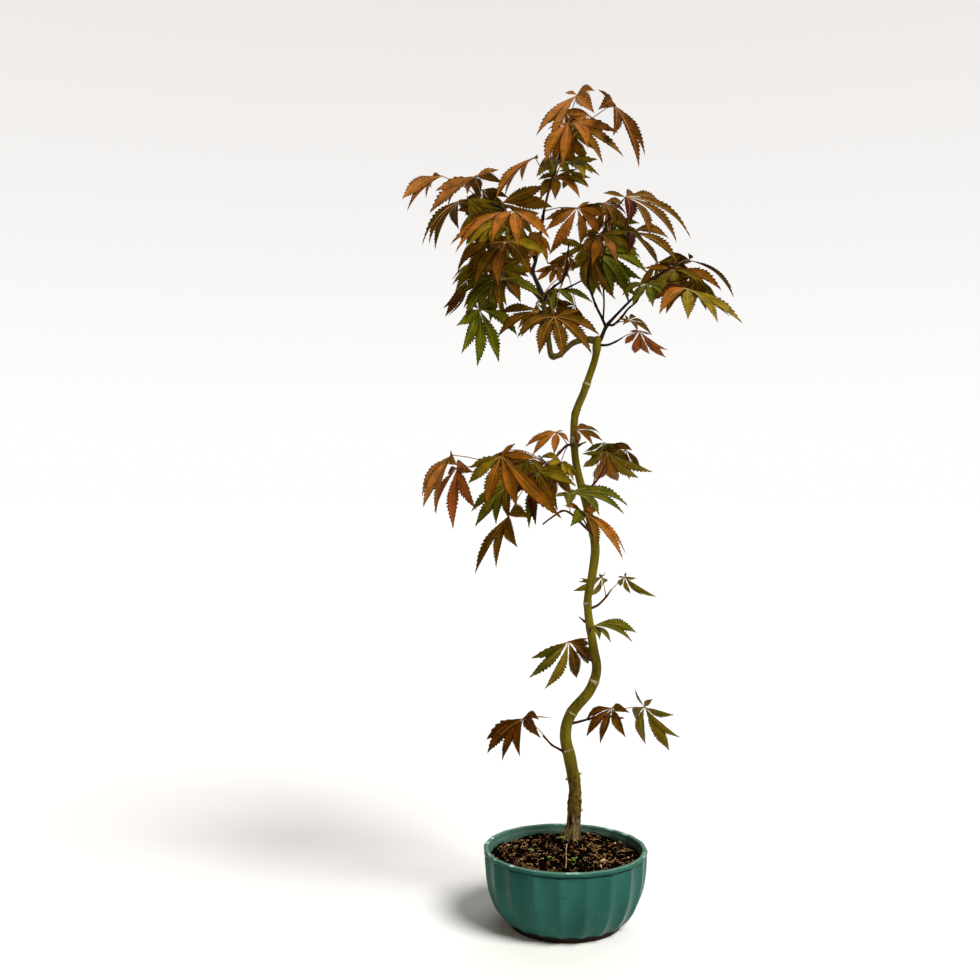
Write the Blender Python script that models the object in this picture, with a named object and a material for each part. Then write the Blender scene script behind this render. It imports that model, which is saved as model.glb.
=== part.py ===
"""A potted Japanese maple bonsai: a slender S-shaped trunk in a fluted glazed bowl.

Lengths are in millimetres and become metres when a mesh is made. +Z is up, +X is to the right as seen
from the front, and the origin is on the pot's axis, at its underside. Places on the tree are given as
they show from EYE, in the upright plane through the pot's axis, with their depth behind that plane.
"""

import math
import random
from collections import namedtuple

import bmesh
import bpy
from mathutils import Vector
from mathutils.bvhtree import BVHTree

MM = 0.001
CLEAR = 0.3                # gap between neighbouring solids
EYE = Vector((-75.0, -1150.0, 432.0))

# Pot
FLUTES = 20
STEPS_PER_FLUTE = 2
FLUTE_TURN = math.radians(-97.2)      # one flute's edge lies just left of the front
FLUTE_HOLLOW = 1.8         # how much a flute sinks behind its own chord
# Outside from the ground up: (radius, height)
FOOT = ((56.0, 0.0), (56.0, 4.6))
BOWL = ((60.5, 5.0), (66.6, 12.0), (75.0, 27.0), (79.3, 42.0), (81.2, 57.0), (81.5, 70.5))
LIP = ((82.2, 72.1), (82.2, 74.7))
# Inside: over the lip, and the wall from the floor up
LIP_TOP = ((78.0, 75.5), (76.0, 74.3))
INSIDE = ((52.0, 11.0), (60.0, 16.0), (67.0, 30.0), (72.6, 48.0), (75.2, 66.0))
FLUTE_EDGE = 9.0            # degrees between faces that meet in a crisp edge

# Soil
SOIL_EDGE = 66.5
SOIL_RINGS = 4
SOIL_SIDES = FLUTES * STEPS_PER_FLUTE
MOUND_HEIGHT = 8.6
MOUND_WIDTH = 26.0
SOIL_WAVE = 0.9
WALL_SPARE = 0.1
SEAT_WIDTH = 4.0           # the level seat that the trunk stands on reaches this far past it

# Trunk: (x, z, radius) from the soil to the fork, as seen from the front
TRUNK = (
    (5.5, 86.0, 9.4), (8.4, 98.0, 6.6), (9.4, 117.0, 7.0), (9.9, 136.0, 6.1), (5.2, 162.0, 6.3),
    (0.4, 188.0, 5.7), (6.5, 209.0, 5.5), (24.4, 231.0, 5.2), (31.6, 252.0, 4.8), (28.0, 277.0, 4.5),
    (22.6, 318.0, 4.0), (27.3, 347.0, 4.4), (30.0, 378.0, 4.5), (21.9, 416.0, 4.2), (10.9, 460.0, 3.7),
    (9.6, 503.0, 3.8), (19.3, 531.0, 3.7), (30.0, 563.0, 3.5), (32.2, 582.0, 4.2),
)
TRUNK_DEPTH = 36.0         # how far behind the pot's axis it stands in the soil
TRUNK_LEAN = 1.5           # it comes forward by this power of its height
TRUNK_SIDES = 12
LIMB_SIDES = 8
LIMB_STEPS = 2             # rings between two places of a route
SEAT_RINGS = 4             # a limb's first rings, which stand clear of the limb that carries it
TWIG_SIDES = 3

# Boughs: the limb that carries each, and its route (x, z, depth, radius) as seen from the front
BOUGHS = {
    "left_bough": (
        "trunk",
        ((31.0, 581.0, 0.0, 3.0), (22.0, 582.5, -1.0, 2.9), (9.0, 579.5, -4.0, 2.8),
         (1.0, 573.0, -6.0, 2.8), (-4.6, 567.6, -7.0, 2.8), (-10.2, 565.2, -8.0, 2.8)),
    ),
    "left_bough_upper": (
        "left_bough",
        ((-9.0, 565.0, -8.0, 2.8), (-13.8, 567.0, -8.0, 2.8), (-15.6, 576.0, -8.0, 2.7),
         (-17.4, 593.0, -8.0, 2.6), (-20.5, 612.0, -8.0, 2.5), (-22.4, 626.0, -8.0, 2.4)),
    ),
    "leader": (
        "left_bough_upper",
        ((-22.4, 624.0, -8.0, 2.3), (-26.5, 636.0, -7.0, 2.2), (-32.0, 650.0, -5.0, 2.0),
         (-29.5, 661.0, -3.0, 1.8), (-26.8, 674.0, -1.0, 1.7), (-24.0, 691.0, 1.0, 1.6),
         (-22.0, 706.0, 2.0, 1.6)),
    ),
    "right_bough": (
        "trunk",
        ((33.0, 579.0, 0.0, 2.0), (37.0, 586.0, 1.0, 1.9), (41.6, 596.0, 2.0, 1.9),
         (48.0, 603.4, 3.0, 1.5), (60.0, 616.0, 5.0, 1.3), (75.0, 631.0, 8.0, 1.1)),
    ),
}

# Leaves: seven lobes fan out from a hub, and the tips of three of them give the leaf's attitude
LOBE_STEP = math.radians(33.0)
BASAL_TURN = math.radians(107.0)
LOBE_LENGTHS = (1.0, 0.95, 0.78, 0.38)
LOBE_SLANT = 0.8           # most that a lobe turns its width into the line of sight
LOBE_SHAPE = ((0.30, 0.085), (0.60, 0.100))     # share of the length, half width over length
ROOM = 0.45                # half a lobe takes no more than this share of the angle to its neighbour
SINUS = 0.13               # how near the hub the lobes part, over their length
ARCHES = (0.12, 0.13, 0.12, 0.04)               # rise of a level lobe between hub and tip, over its length
PLUMB_ARCH = 0.35          # share of that rise in a lobe that hangs straight down
BLADE = 0.9                # thickness under the midrib
MAX_SLOPE = 46.0           # most that a lobe's tip lies before or behind its hub
PETIOLE_RADIUS = 0.6
PETIOLE_ARCH = 0.12
PETIOLE_BACK = 0.25        # a leaf's stalk leaves the twig this share of its length nearer the root
TWIG_THICK = 1.5
TWIG_THIN = 0.8
NUDGE = 5.0                # a leaf that touches another mass or a limb moves along the line of sight
NUDGES = 15
HIDDEN_SHARE = 0.8         # a leaf at the back is kept where those in front hide this much of it
HIDDEN_TRIES = 400
SEED = 7

# Its lobes are numbered from -3 on the left to 3 on the right: those that are bare are left out, and tips
# gives those that lie elsewhere than the fan has them
Leaf = namedtuple("Leaf", "hub depth left middle right bare tips", defaults=((), {}))
Mass = namedtuple("Mass", "carrier twigs leaves fill", defaults=(0,))

MASSES = {
    "top_foliage": Mass(
        "leader",
        (((-22.2, 703, 2), (-21, 711, 2), (-16, 732, 0), (-9, 754, -2), (-3, 774, -4), (6, 800, -4),
          (10, 803, -4)),
         ((-16, 732, 0), (-10, 742, 18), (2, 750, 36))),
        (Leaf((12, 827), -10, (-41, -41), (8, -38), (18, 4), (0,), {-3: (-12, 2), 3: (12, 7)}),
         Leaf((48, 818), -5, (-15, -6), (26, -64), (24, -21), (2, 3), {-1: (0, -32)}),
         Leaf((3, 799), -30, (-23, -40), (20, -26), (56, -34), (),
              {-3: (-20, -6), 1: (35, -41), 3: (51, -10)}),
         Leaf((-3, 759), -20, (-26, -14), (23, -17), (38, -13), (),
              {-1: (-8, -10), 1: (31, -11), 3: (36, 4)}),
         Leaf((-11, 745), -35, (-16, -3), (1, -23), (35, -11), (), {-1: (-14, -23)}),
         Leaf((-30, 765), 5, (-26, -28), (-37, -40), (-13, -24), (-3, -2)),
         Leaf((12, 714), -40, (-32, -23), (3, -38), (27, -8), (), {-3: (-33, -12), -1: (-28, -47)}),
         Leaf((4, 786), 12, (-20, -14), (-4, -30), (14, -24)),
         Leaf((2, 752), 15, (-12, -12), (8, -18), (24, -8))),
        2,
    ),
    "far_left_foliage": Mass(
        "leader",
        (((-29.5, 661, -3), (-38, 684, 4), (-50, 702, 10), (-64, 714, 14), (-82, 721, 16), (-92, 728, 16)),
         ((-64, 714, 14), (-72, 716, 36), (-84, 720, 56))),
        (Leaf((-90, 745), 5, (-46, -37), (-8, -18), (28, -7), (),
              {-3: (-40, -14), -1: (-27, -29), 1: (4, -23), 3: (24, 7)}),
         Leaf((-123, 746), 15, (-28, -5), (-35, -35), (-11, -12), (-3, -2, 3), {1: (-16, -22)}),
         Leaf((-105, 722), 22, (-38, -45), (-25, -50), (9, -18), (-3,),
              {-1: (-31, -44), 1: (-1, -30), 3: (18, -13)}),
         Leaf((-96, 722), 20, (2, -18), (16, -14), (26, -2))),
        1,
    ),
    "left_foliage": Mass(
        "leader",
        (((-32, 650, -5), (-40, 662, -14), (-52, 684, -24), (-57, 706, -32)),),
        (Leaf((-51, 711), -60, (-64, -34), (-22, -31), (36, -28), (-3, 3), {1: (4, -36)}),
         Leaf((-63, 719), -15, (38, -10), (41, 5), (31, 20)),
         Leaf((-65, 700), -28, (-28, -10), (-33, -26), (-8, -26)),
         Leaf((-59, 680), -45, (-49, -27), (-8, -44), (42, -14), (), {-3: (-34, -3), -1: (-32, -46)}),
         Leaf((-52, 706), -8, (-30, -22), (-4, -30), (20, -20)),
         Leaf((-30, 690), 22, (-12, -20), (2, -28), (16, -22)),
         Leaf((-80, 678), 0, (-24, -14), (-18, -34), (2, -30))),
        1,
    ),
    "lower_left_foliage": Mass(
        "left_bough_upper",
        (((-21.5, 618, -8), (-32, 630, -12), (-48, 641, -18), (-64, 642, -22), (-80, 633, -24)),
         ((-48, 641, -18), (-60, 646, 6), (-74, 650, 30))),
        (Leaf((-62, 643), -35, (-42, -15), (-3, -30), (41, -20), (), {-1: (-38, -43), 1: (18, -24)}),
         Leaf((-86, 613), -50, (-23, -17), (-2, -58), (38, -27), (), {1: (20, -54)}),
         Leaf((-98, 642), -10, (-16, -10), (-22, -37), (-9, -20), (-3, -2)),
         Leaf((-83, 656), 12, (-18, -4), (-30, -19), (-14, -22)),
         Leaf((-27, 611), -40, (-40, -3), (-20, -18), (-8, -22), (3,), {-1: (-41, -27)}),
         Leaf((-72, 642), -2, (-30, -14), (-14, -32), (14, -26))),
        1,
    ),
    "centre_foliage": Mass(
        "left_bough_upper",
        (((-21.6, 620, -8), (-17.5, 628, -13), (-11, 635.5, -14), (-2.5, 642, -14), (0.7, 652.5, -13),
          (2.3, 665, -12), (4, 679, -10)),
         ((-17.5, 628, -13), (-8, 630.5, -22), (4, 635, -26), (16, 641, -28)),
         ((-2.5, 642, -14), (2, 650, 8), (6, 660, 30))),
        (Leaf((-11, 605), -65, (-37, -21), (8, -42), (46, -19), (), {-1: (-15, -38), 3: (26, 7)}),
         Leaf((-8, 633), -24, (-4, -26), (18, -17), (36, -14), (-1, 1)),
         Leaf((-9, 658), 5, (-22, -8), (-6, -20), (14, -14)),
         Leaf((19, 675), 20, (-30, 6), (-24, -10), (-8, -18), (-3, -1, 1, 3)),
         Leaf((2, 668), 8, (-20, -10), (-14, -22), (6, -18))),
        1,
    ),
    "inner_right_foliage": Mass(
        "right_bough",
        (((41, 595, 2), (36, 606, 0), (31, 616, -2), (27, 627, -4), (23, 638, -5), (24, 656, -4),
          (27, 668, -2)),
         ((38, 602, 1), (39, 617, 4), (38.4, 636, 6), (37, 665, 2), (38, 686, -6), (44, 704, -14),
          (58, 722, -24)),
         ((37, 665, 2), (44, 684, 26), (52, 700, 50))),
        (Leaf((27, 667), 4, (-10, -23), (7, -33), (24, -45), (), {1: (11, -42)}),
         Leaf((30, 670), 22, (18, -46), (37, -35), (46, -6)),
         Leaf((36, 688), -15, (-21, -6), (-9, -32), (36, -23), (), {-3: (-19, 3), 1: (16, -29), 3: (29, 2)}),
         Leaf((39, 719), -20, (-3, -17), (25, -27), (20, -3), (), {-3: (-15, 0), 1: (23, -13), 3: (11, 8)}),
         Leaf((61, 725), -45, (2, -28), (51, -46), (37, -12), (),
              {-3: (-23, 4), -1: (24, -40), 1: (65, -42)}),
         Leaf((66, 690), -5, (-2, -21), (28, -35), (38, -7), (-3, -1, 3), {1: (48, -34)}),
         Leaf((46, 700), 34, (-10, -6), (14, -9), (16, -2)),
         Leaf((34, 672), 42, (-18, -30), (12, -46), (44, -30))),
        2,
    ),
    "outer_right_foliage": Mass(
        "right_bough",
        (((73, 629, 8), (84, 638, 9), (97, 649, 8), (110, 656, 8), (119, 660, 14)),
         ((97, 649, 8), (104, 656, 30), (110, 664, 52))),
        (Leaf((109, 652), 8, (-24, -20), (4, -26), (48, -21), (), {-3: (-30, 2), 1: (33, -24)}),
         Leaf((124, 662), 26, (-12, -7), (45, -38), (24, -8), (-1, 2)),
         Leaf((123, 633), -30, (-31, -10), (0, -31), (55, -35), (),
              {-1: (-29, -26), 1: (30, -34), 3: (42, -27)})),
        1,
    ),
    "lower_right_spray": Mass(
        "right_bough",
        (((43, 598, 2), (48, 597, -4), (56, 604, -6), (63, 613, -7), (71, 620, -8), (77, 630, -8)),),
        (Leaf((63, 601), -18, (-5, -4), (24, -14), (8, 4)),
         Leaf((82, 638), -2, (-25, -12), (6, -23), (24, -5))),
    ),
    "red_spray": Mass(
        "trunk",
        (((33, 577, 0), (42, 577, -3), (50, 580, -4), (57, 584, -4)),),
        (Leaf((75, 591), 2, (-15, -13), (10, -23), (28, -19)),),
    ),
    "middle_left_foliage": Mass(
        "trunk",
        (((10, 475, 3), (3, 477, -4), (-5, 470, -12), (-17, 456, -20), (-29, 450, -26), (-44, 446, -30),
          (-62, 452, -34), (-86, 457, -38)),
         ((-17, 456, -20), (-20, 460, 4), (-26, 466, 28))),
        (Leaf((-113, 467), -44, (-30, -42), (-17, -59), (6, -11), (-3, 1, 3), {-1: (-29, -53)}),
         Leaf((-108, 454), -58, (-21, -46), (-4, -62), (17, -5), (-1, 3), {1: (20, -43)}),
         Leaf((-64, 466), -70, (-33, -28), (16, -52), (37, -3), (), {-3: (-32, -12), 1: (62, -64)}),
         Leaf((-9, 490), -20, (-31, -15), (-2, -23), (13, -10), (1,)),
         Leaf((-4, 460), -12, (-22, 4), (2, -18), (16, -12)),
         Leaf((-27, 449), -36, (-22, -22), (-2, -53), (39, -14), (), {-1: (-9, -56), 1: (20, -38)}),
         Leaf((-58, 437), -40, (-36, -27), (-11, -40), (12, -18), (2, 3), {-3: (-52, -31)}),
         Leaf((-56, 407), -26, (-37, -41), (-13, -53), (22, -4), (-3, -2, 3)),
         Leaf((-36, 462), -5, (-20, -20), (0, -32), (20, -22))),
        2,
    ),
    "middle_right_leaf": Mass(
        "trunk",
        (((22, 431, 5), (28, 437, 6), (35, 446, 8), (40, 456, 9)),),
        (Leaf((42, 470), 10, (-24, -15), (11, -29), (46, -20), (), {-3: (-25, -2), 1: (32, -26)}),),
        1,
    ),
    "middle_front_foliage": Mass(
        "trunk",
        (((29, 387, 6), (20, 395, -4), (14, 401, -9), (5, 409, -14), (-3, 411, -18), (-14, 404, -18),
          (-22, 398, -18)),),
        (Leaf((5, 427), -30, (-2, -14), (55, -20), (38, -1)),
         Leaf((17, 411), -38, (-12, -16), (41, -49), (28, -21), (2,), {3: (15, 2)})),
    ),
    "trunk_leaf": Mass(
        "trunk",
        (((10.5, 480, 3), (12, 482, -4), (10, 487, -8)),),
        (Leaf((11, 492), -16, (3, -14), (27, -11), (12, 4)),),
    ),
    "upper_right_shoot": Mass(
        "trunk",
        (((24, 313, 14), (33, 317, 14), (41, 325, 16), (46, 332, 18)),),
        (Leaf((37, 345), 34, (-22, -1), (-29, -14), (0, -7), (), {-1: (-24, -5), 1: (-19, -20), 3: (3, 5)}),
         Leaf((60, 345), 20, (-5, -9), (17, -18), (12, -1), (), {1: (32, -20)})),
    ),
    "right_leaf": Mass(
        "trunk",
        (((24, 289, 15), (25, 292, 6), (26, 294, 3)),),
        (Leaf((27, 296), -2, (8, -14), (41, -17), (30, 3), (-3, 2, 3), {-1: (19, -17)}),),
    ),
    "left_shoot": Mass(
        "trunk",
        (((29, 260, 20), (22, 264, 12), (12, 270, 8)),),
        (Leaf((3.5, 280.5), 2, (-40, -37), (8, -37), (20, -3), (), {-3: (-38, -17), 3: (20, 3)}),),
    ),
    "lower_left_shoot": Mass(
        "trunk",
        (((2, 168, 28), (-6, 173, 20), (-13, 177, 14), (-22, 186, 8)),),
        (Leaf((-41, 204), -4, (-37, -36), (-4, -39), (15, -2), (),
              {-3: (-38, -22), -1: (-22, -43), 1: (17, -21), 3: (27, 0)}),),
    ),
    "lower_right_shoot": Mass(
        "trunk",
        (((4, 198, 26), (13, 200, 22), (24, 203, 16), (36, 206, 10), (58, 204, 8)),),
        (Leaf((47, 214), -4, (-26, -12), (-12, -36), (18, -5), (),
              {-3: (-25, -1), 1: (14, -30), 3: (-7, 8)}),
         Leaf((79.5, 215), 14, (-9, -12), (25, -44), (30, -8), (), {-3: (-10, 19), -1: (2, -38)})),
    ),
}


def seen(x, z, depth):
    """The place that shows at (x, z) in the plane of the pot's axis and lies this far behind it."""
    flat = Vector((x, 0.0, z))
    return EYE + (flat - EYE) * scale_at(depth)


def scale_at(depth):
    return 1.0 - depth / EYE.y


def route(points):
    """A limb's centre line: vectors of x, y, z and radius from places seen from the front."""
    line = []
    for x, z, depth, radius in points:
        place = seen(x, z, depth)
        line.append(Vector((place.x, place.y, place.z, radius * scale_at(depth))))
    return line


def smooth(line, steps):
    """A curve through the line's points, as closely spaced points of the same kind."""
    ends = [2 * line[0] - line[1]] + list(line) + [2 * line[-1] - line[-2]]
    curve = []
    for before, start, end, after in zip(ends, ends[1:], ends[2:], ends[3:]):
        for step in range(steps):
            t = step / steps
            pull = (end - before) * t + (2 * before - 5 * start + 4 * end - after) * t ** 2
            pull += (3 * start - before - 3 * end + after) * t ** 3
            curve.append(start + pull * 0.5)
    curve.append(line[-1].copy())
    return curve


def rings(line, sides):
    """One ring of points round each point of the line, none twisted against the last."""
    made = []
    across = None
    for index, point in enumerate(line):
        ahead = (line[min(index + 1, len(line) - 1)] - line[max(index - 1, 0)]).xyz.normalized()
        if across is None:
            across = ahead.orthogonal()
        across = (across - ahead * across.dot(ahead)).normalized()
        other = ahead.cross(across)
        turns = [2 * math.pi * side / sides for side in range(sides)]
        made.append([point.xyz + (across * math.cos(a) + other * math.sin(a)) * point.w for a in turns])
    return made


def tube(line, sides):
    """A closed tube round the line: its points and faces."""
    loops = rings(line, sides)
    points = [point for loop in loops for point in loop]
    faces = []
    for row in range(len(loops) - 1):
        for side in range(sides):
            a = row * sides + side
            b = row * sides + (side + 1) % sides
            faces.append((a, b, b + sides, a + sides))
    last = len(points) - sides
    faces.append(tuple(reversed(range(sides))))
    faces.append(tuple(range(last, last + sides)))
    return points, faces


def stands_clear(tree, point, gap):
    near, normal, _, distance = tree.find_nearest(point)
    return distance >= gap and (point - near).dot(normal) > 0


def seated(line, tree, sides, step=0.1):
    """The line without the start that lies in its carrier, cut where its end is clear of the bark."""
    line = list(line)
    while len(line) > 2:
        start = [Vector((*point.xyz, point.w + CLEAR)) for point in line[:SEAT_RINGS]]
        points, faces = tube(start, sides)
        if all(stands_clear(tree, point, CLEAR) for point in points) and not tree.overlap(tree_of(points, faces)):
            return line
        span = (line[1] - line[0]).xyz.length
        if span <= step:
            line.pop(0)
        else:
            line[0] = line[0].lerp(line[1], step / span)
    raise ValueError("a limb never leaves its carrier")


def material(name, colour, roughness, metallic=0.0):
    made = bpy.data.materials.new(name)
    made.use_nodes = True
    shader = made.node_tree.nodes["Principled BSDF"]
    shader.inputs["Base Color"].default_value = (*colour, 1.0)
    shader.inputs["Roughness"].default_value = roughness
    shader.inputs["Metallic"].default_value = metallic
    made.diffuse_color = (*colour, 1.0)
    return made


def solid(name, points, faces, look, collection=None):
    """An object from points in millimetres, with its faces turned outwards."""
    mesh = bpy.data.meshes.new(name)
    mesh.from_pydata([point * MM for point in points], [], faces)
    shape = bmesh.new()
    shape.from_mesh(mesh)
    bmesh.ops.recalc_face_normals(shape, faces=shape.faces)
    shape.to_mesh(mesh)
    shape.free()
    mesh.materials.append(look)
    made = bpy.data.objects.new(name, mesh)
    (collection or bpy.context.scene.collection).objects.link(made)
    return made


def tree_of(points, faces):
    return BVHTree.FromPolygons(points, faces)


def fluted(radius, height):
    """A ring of the bowl: flat flutes between edges on a circle, each a little hollow."""
    loop = []
    count = FLUTES * STEPS_PER_FLUTE
    for index in range(count):
        turn = FLUTE_TURN + 2 * math.pi * index / count
        reach = radius
        if index % STEPS_PER_FLUTE:
            reach = radius * math.cos(math.pi / FLUTES) - FLUTE_HOLLOW
        loop.append(Vector((reach * math.cos(turn), reach * math.sin(turn), height)))
    return loop


def round_loop(radius, height, count=FLUTES * STEPS_PER_FLUTE):
    turns = [FLUTE_TURN + 2 * math.pi * index / count for index in range(count)]
    return [Vector((radius * math.cos(turn), radius * math.sin(turn), height)) for turn in turns]


def turned(loops):
    """A closed solid through rings of equal count, flat at both ends."""
    count = len(loops[0])
    points = [point for loop in loops for point in loop]
    faces = [tuple(range(count))]
    for row in range(len(loops) - 1):
        for side in range(count):
            a = row * count + side
            b = row * count + (side + 1) % count
            faces.append((a, b, b + count, a + count))
    last = len(points) - count
    faces.append(tuple(range(last, last + count)))
    return points, faces


def make_pot():
    glaze = material("teal_glaze", (0.048, 0.168, 0.138), 0.18)
    loops = [round_loop(radius, height) for radius, height in FOOT]
    loops += [fluted(radius, height) for radius, height in BOWL + LIP]
    loops += [round_loop(radius, height) for radius, height in LIP_TOP + INSIDE[::-1]]
    points, faces = turned(loops)
    pot = solid("pot", points, faces, glaze)
    pot.data.shade_smooth()
    pot.data.set_sharp_from_angle(angle=math.radians(FLUTE_EDGE))


def inner_radius(height):
    for (low, bottom), (high, top) in zip(INSIDE, INSIDE[1:]):
        if height <= top:
            return low + (high - low) * (height - bottom) / (top - bottom)
    return INSIDE[-1][0]


def soil_height(x, y, foot):
    """The soil's surface: level at the wall, uneven, and heaped round the trunk's foot."""
    away = math.hypot(x - foot.x, y - foot.y)
    heap = MOUND_HEIGHT * math.exp(-(away / MOUND_WIDTH) ** 2)
    wave = SOIL_WAVE * (math.sin(0.11 * x + 0.07 * y) + math.sin(0.05 * x - 0.13 * y + 1.0))
    return SOIL_EDGE + heap + wave * min(1.0, away / MOUND_WIDTH)


def make_soil(foot):
    look = material("dark_potting_soil", (0.022, 0.013, 0.008), 0.95)
    top = SOIL_EDGE + 2 * SOIL_WAVE
    gap = CLEAR / math.cos(math.pi / SOIL_SIDES) + WALL_SPARE
    loops = [round_loop(radius - gap, height + CLEAR, SOIL_SIDES) for radius, height in INSIDE[:-1]]
    for ring in range(SOIL_RINGS):
        radius = (inner_radius(top) - gap) * (1 - ring / SOIL_RINGS)
        loop = round_loop(radius, 0.0, SOIL_SIDES)
        for point in loop:
            point.z = soil_height(point.x, point.y, foot)
            away = math.hypot(point.x - foot.x, point.y - foot.y)
            if away < foot.w + SEAT_WIDTH:
                point.z = foot.z - CLEAR
        loops.append(loop)
    points, faces = turned(loops)
    solid("soil", points, faces, look).data.shade_smooth()


def trunk_line():
    low, high = TRUNK[0][1], TRUNK[-1][1]
    points = []
    for x, z, radius in TRUNK:
        rise = (z - low) / (high - low)
        points.append((x, z, TRUNK_DEPTH * (1 - rise) ** TRUNK_LEAN, radius))
    return route(points)


def make_limbs():
    """The trunk and the boughs, and for each its surface tree."""
    bark = material("olive_bark", (0.115, 0.120, 0.030), 0.5)
    line = smooth(trunk_line(), LIMB_STEPS)
    loops = rings(line, TRUNK_SIDES)
    for point in loops[0]:
        point.z = line[0].z
    points, faces = tube(line, TRUNK_SIDES)
    points[:TRUNK_SIDES] = loops[0]
    trees = {"trunk": tree_of(points, faces)}
    solid("trunk", points, faces, bark).data.shade_smooth()
    for name, (carrier, places) in BOUGHS.items():
        limb = seated(smooth(route(places), LIMB_STEPS), trees[carrier], LIMB_SIDES)
        points, faces = tube(limb, LIMB_SIDES)
        trees[name] = tree_of(points, faces)
        solid(name, points, faces, bark).data.shade_smooth()
    return line[0], trees


def flat(pair):
    return Vector((pair[0], pair[1]))


def attitude(leaf, depth):
    """The middle lobe and the two side vectors, each as (x, z, depth) offsets seen from the front."""
    middle = flat(leaf.middle)
    turn = 2 * LOBE_STEP
    sides = []
    for tip in (leaf.left, leaf.right):
        sides.append((flat(tip) / LOBE_LENGTHS[2] - middle * math.cos(turn)) / math.sin(turn))
    left, right = sides
    span = (left - right) / 2
    slant = middle.dot(span)
    excess = middle.length_squared - span.length_squared
    lean_square = (math.sqrt(excess ** 2 + 4 * slant ** 2) - excess) / 2
    lean = math.sqrt(max(lean_square, 0.0))
    swing = math.sqrt(max(lean_square + excess, 0.0))
    if depth < 0:
        lean = -lean
    if slant * lean > 0:
        swing = -swing
    return (
        Vector((middle.x, middle.y, lean)),
        Vector((left.x, left.y, swing)),
        Vector((right.x, right.y, -swing)),
    )


def lobes_of(leaf, depth):
    """The hub, and each lobe's run to its tip, its sideways direction and the leaf's face there."""
    middle, left, right = attitude(leaf, depth)
    hub = seen(leaf.hub[0], leaf.hub[1], depth)
    runs = {}
    for index in range(-3, 4):
        if index in leaf.bare:
            continue
        rank = abs(index)
        turn = BASAL_TURN if rank == 3 else rank * LOBE_STEP
        side = left if index < 0 else right
        offset = (middle * math.cos(turn) + side * math.sin(turn)) * LOBE_LENGTHS[rank]
        x, z = leaf.tips.get(index, offset.xy)
        slope = max(-MAX_SLOPE, min(MAX_SLOPE, offset.z)) * scale_at(depth)
        runs[index] = seen(leaf.hub[0] + x, leaf.hub[1] + z, depth + slope) - hub
    order = sorted(runs)
    found = []
    face = Vector()
    for place, index in enumerate(order):
        run = runs[index]
        ahead = runs[order[min(place + 1, len(order) - 1)]] - runs[order[max(place - 1, 0)]]
        slant = LOBE_SLANT * math.hypot(ahead.x, ahead.z)
        ahead.y = max(-slant, min(slant, ahead.y))
        across = (ahead - run * (ahead.dot(run) / run.length_squared)).normalized()
        found.append((index, run, across))
        face += run.cross(across)
    flip = -1.0 if face.dot(Vector((0.0, -1.0, 0.6))) < 0 else 1.0
    return hub, [(index, run, across, run.cross(across).normalized() * flip) for index, run, across in found]


def arch(rank, run):
    """How high a lobe rises between its hub and its tip: little where it hangs straight down."""
    level = (run.x ** 2 + run.y ** 2) / run.length_squared
    return ARCHES[rank] * (PLUMB_ARCH + (1 - PLUMB_ARCH) * level) * run.length


def lift(run, face):
    """The direction in which a lobe arches between its hub and its tip."""
    along = run.normalized()
    upward = Vector((0.0, 0.0, 1.0))
    upward -= along * upward.dot(along)
    return (face * 0.6 + upward * 0.4).normalized()


def blade(leaf, depth, spare=0.0):
    """A leaf's blade as one closed shape: pointed lobes that part near the hub, ridged on their midribs."""
    hub, lobes = lobes_of(leaf, depth)
    face = sum((lobe[3] for lobe in lobes), Vector()).normalized()
    thick = BLADE + spare
    points = [hub + face * thick, hub - face * (0.4 * thick)]
    top, bottom = 0, 1
    count = len(lobes)
    sinuses = []
    for place in range(count):
        _, run, _, _ = lobes[place]
        _, before, _, _ = lobes[place - 1]
        reach = SINUS * (run.length + before.length) / 2
        toward = run.normalized() + before.normalized()
        if place == 0:
            toward = -sum((lobe[1].normalized() for lobe in lobes), Vector())
            reach *= 0.5
        points.append(hub + toward.normalized() * reach)
        sinuses.append(len(points) - 1)
    faces = []
    for place, (index, run, across, normal) in enumerate(lobes):
        rise = lift(run, normal)
        length = run.length
        room = ROOM * min(run.angle(other) for at, other, _, _ in lobes if at != index)
        edge = []
        for share, width in LOBE_SHAPE:
            width = min(width, share * math.sin(room))
            middle = hub + run * share + rise * (arch(abs(index), run) * 4 * share * (1 - share))
            points.append(middle - across * (width * length))
            points.append(middle + across * (width * length))
            points.append(middle + normal * thick)
            edge.append((len(points) - 3, len(points) - 2, len(points) - 1))
        points.append(hub + run)
        tip = len(points) - 1
        (left_1, right_1, rib_1), (left_2, right_2, rib_2) = edge
        before, after = sinuses[place], sinuses[(place + 1) % count]
        faces += [
            (bottom, after, before), (before, after, right_1, left_1), (left_1, right_1, right_2, left_2),
            (left_2, right_2, tip), (top, before, left_1, rib_1), (top, rib_1, right_1, after),
            (rib_1, left_1, left_2, rib_2), (rib_1, rib_2, right_2, right_1), (rib_2, left_2, tip),
            (rib_2, tip, right_2),
        ]
    return hub, points, faces


def crosses_itself(points, faces):
    tree = tree_of(points, faces)
    return any(not set(faces[a]) & set(faces[b]) for a, b in tree.overlap(tree))


def unfolded(leaf):
    """The leaf without the lobes that would cut through its others."""
    for spared in ((), (-3, 3), (-3, -2, 3), (-3, 2, 3), (-3, -2, 2, 3)):
        trial = leaf._replace(bare=tuple(sorted({*leaf.bare, *spared})))
        _, points, faces = blade(trial, leaf.depth)
        if not crosses_itself(points, faces):
            break
    return trial


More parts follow.
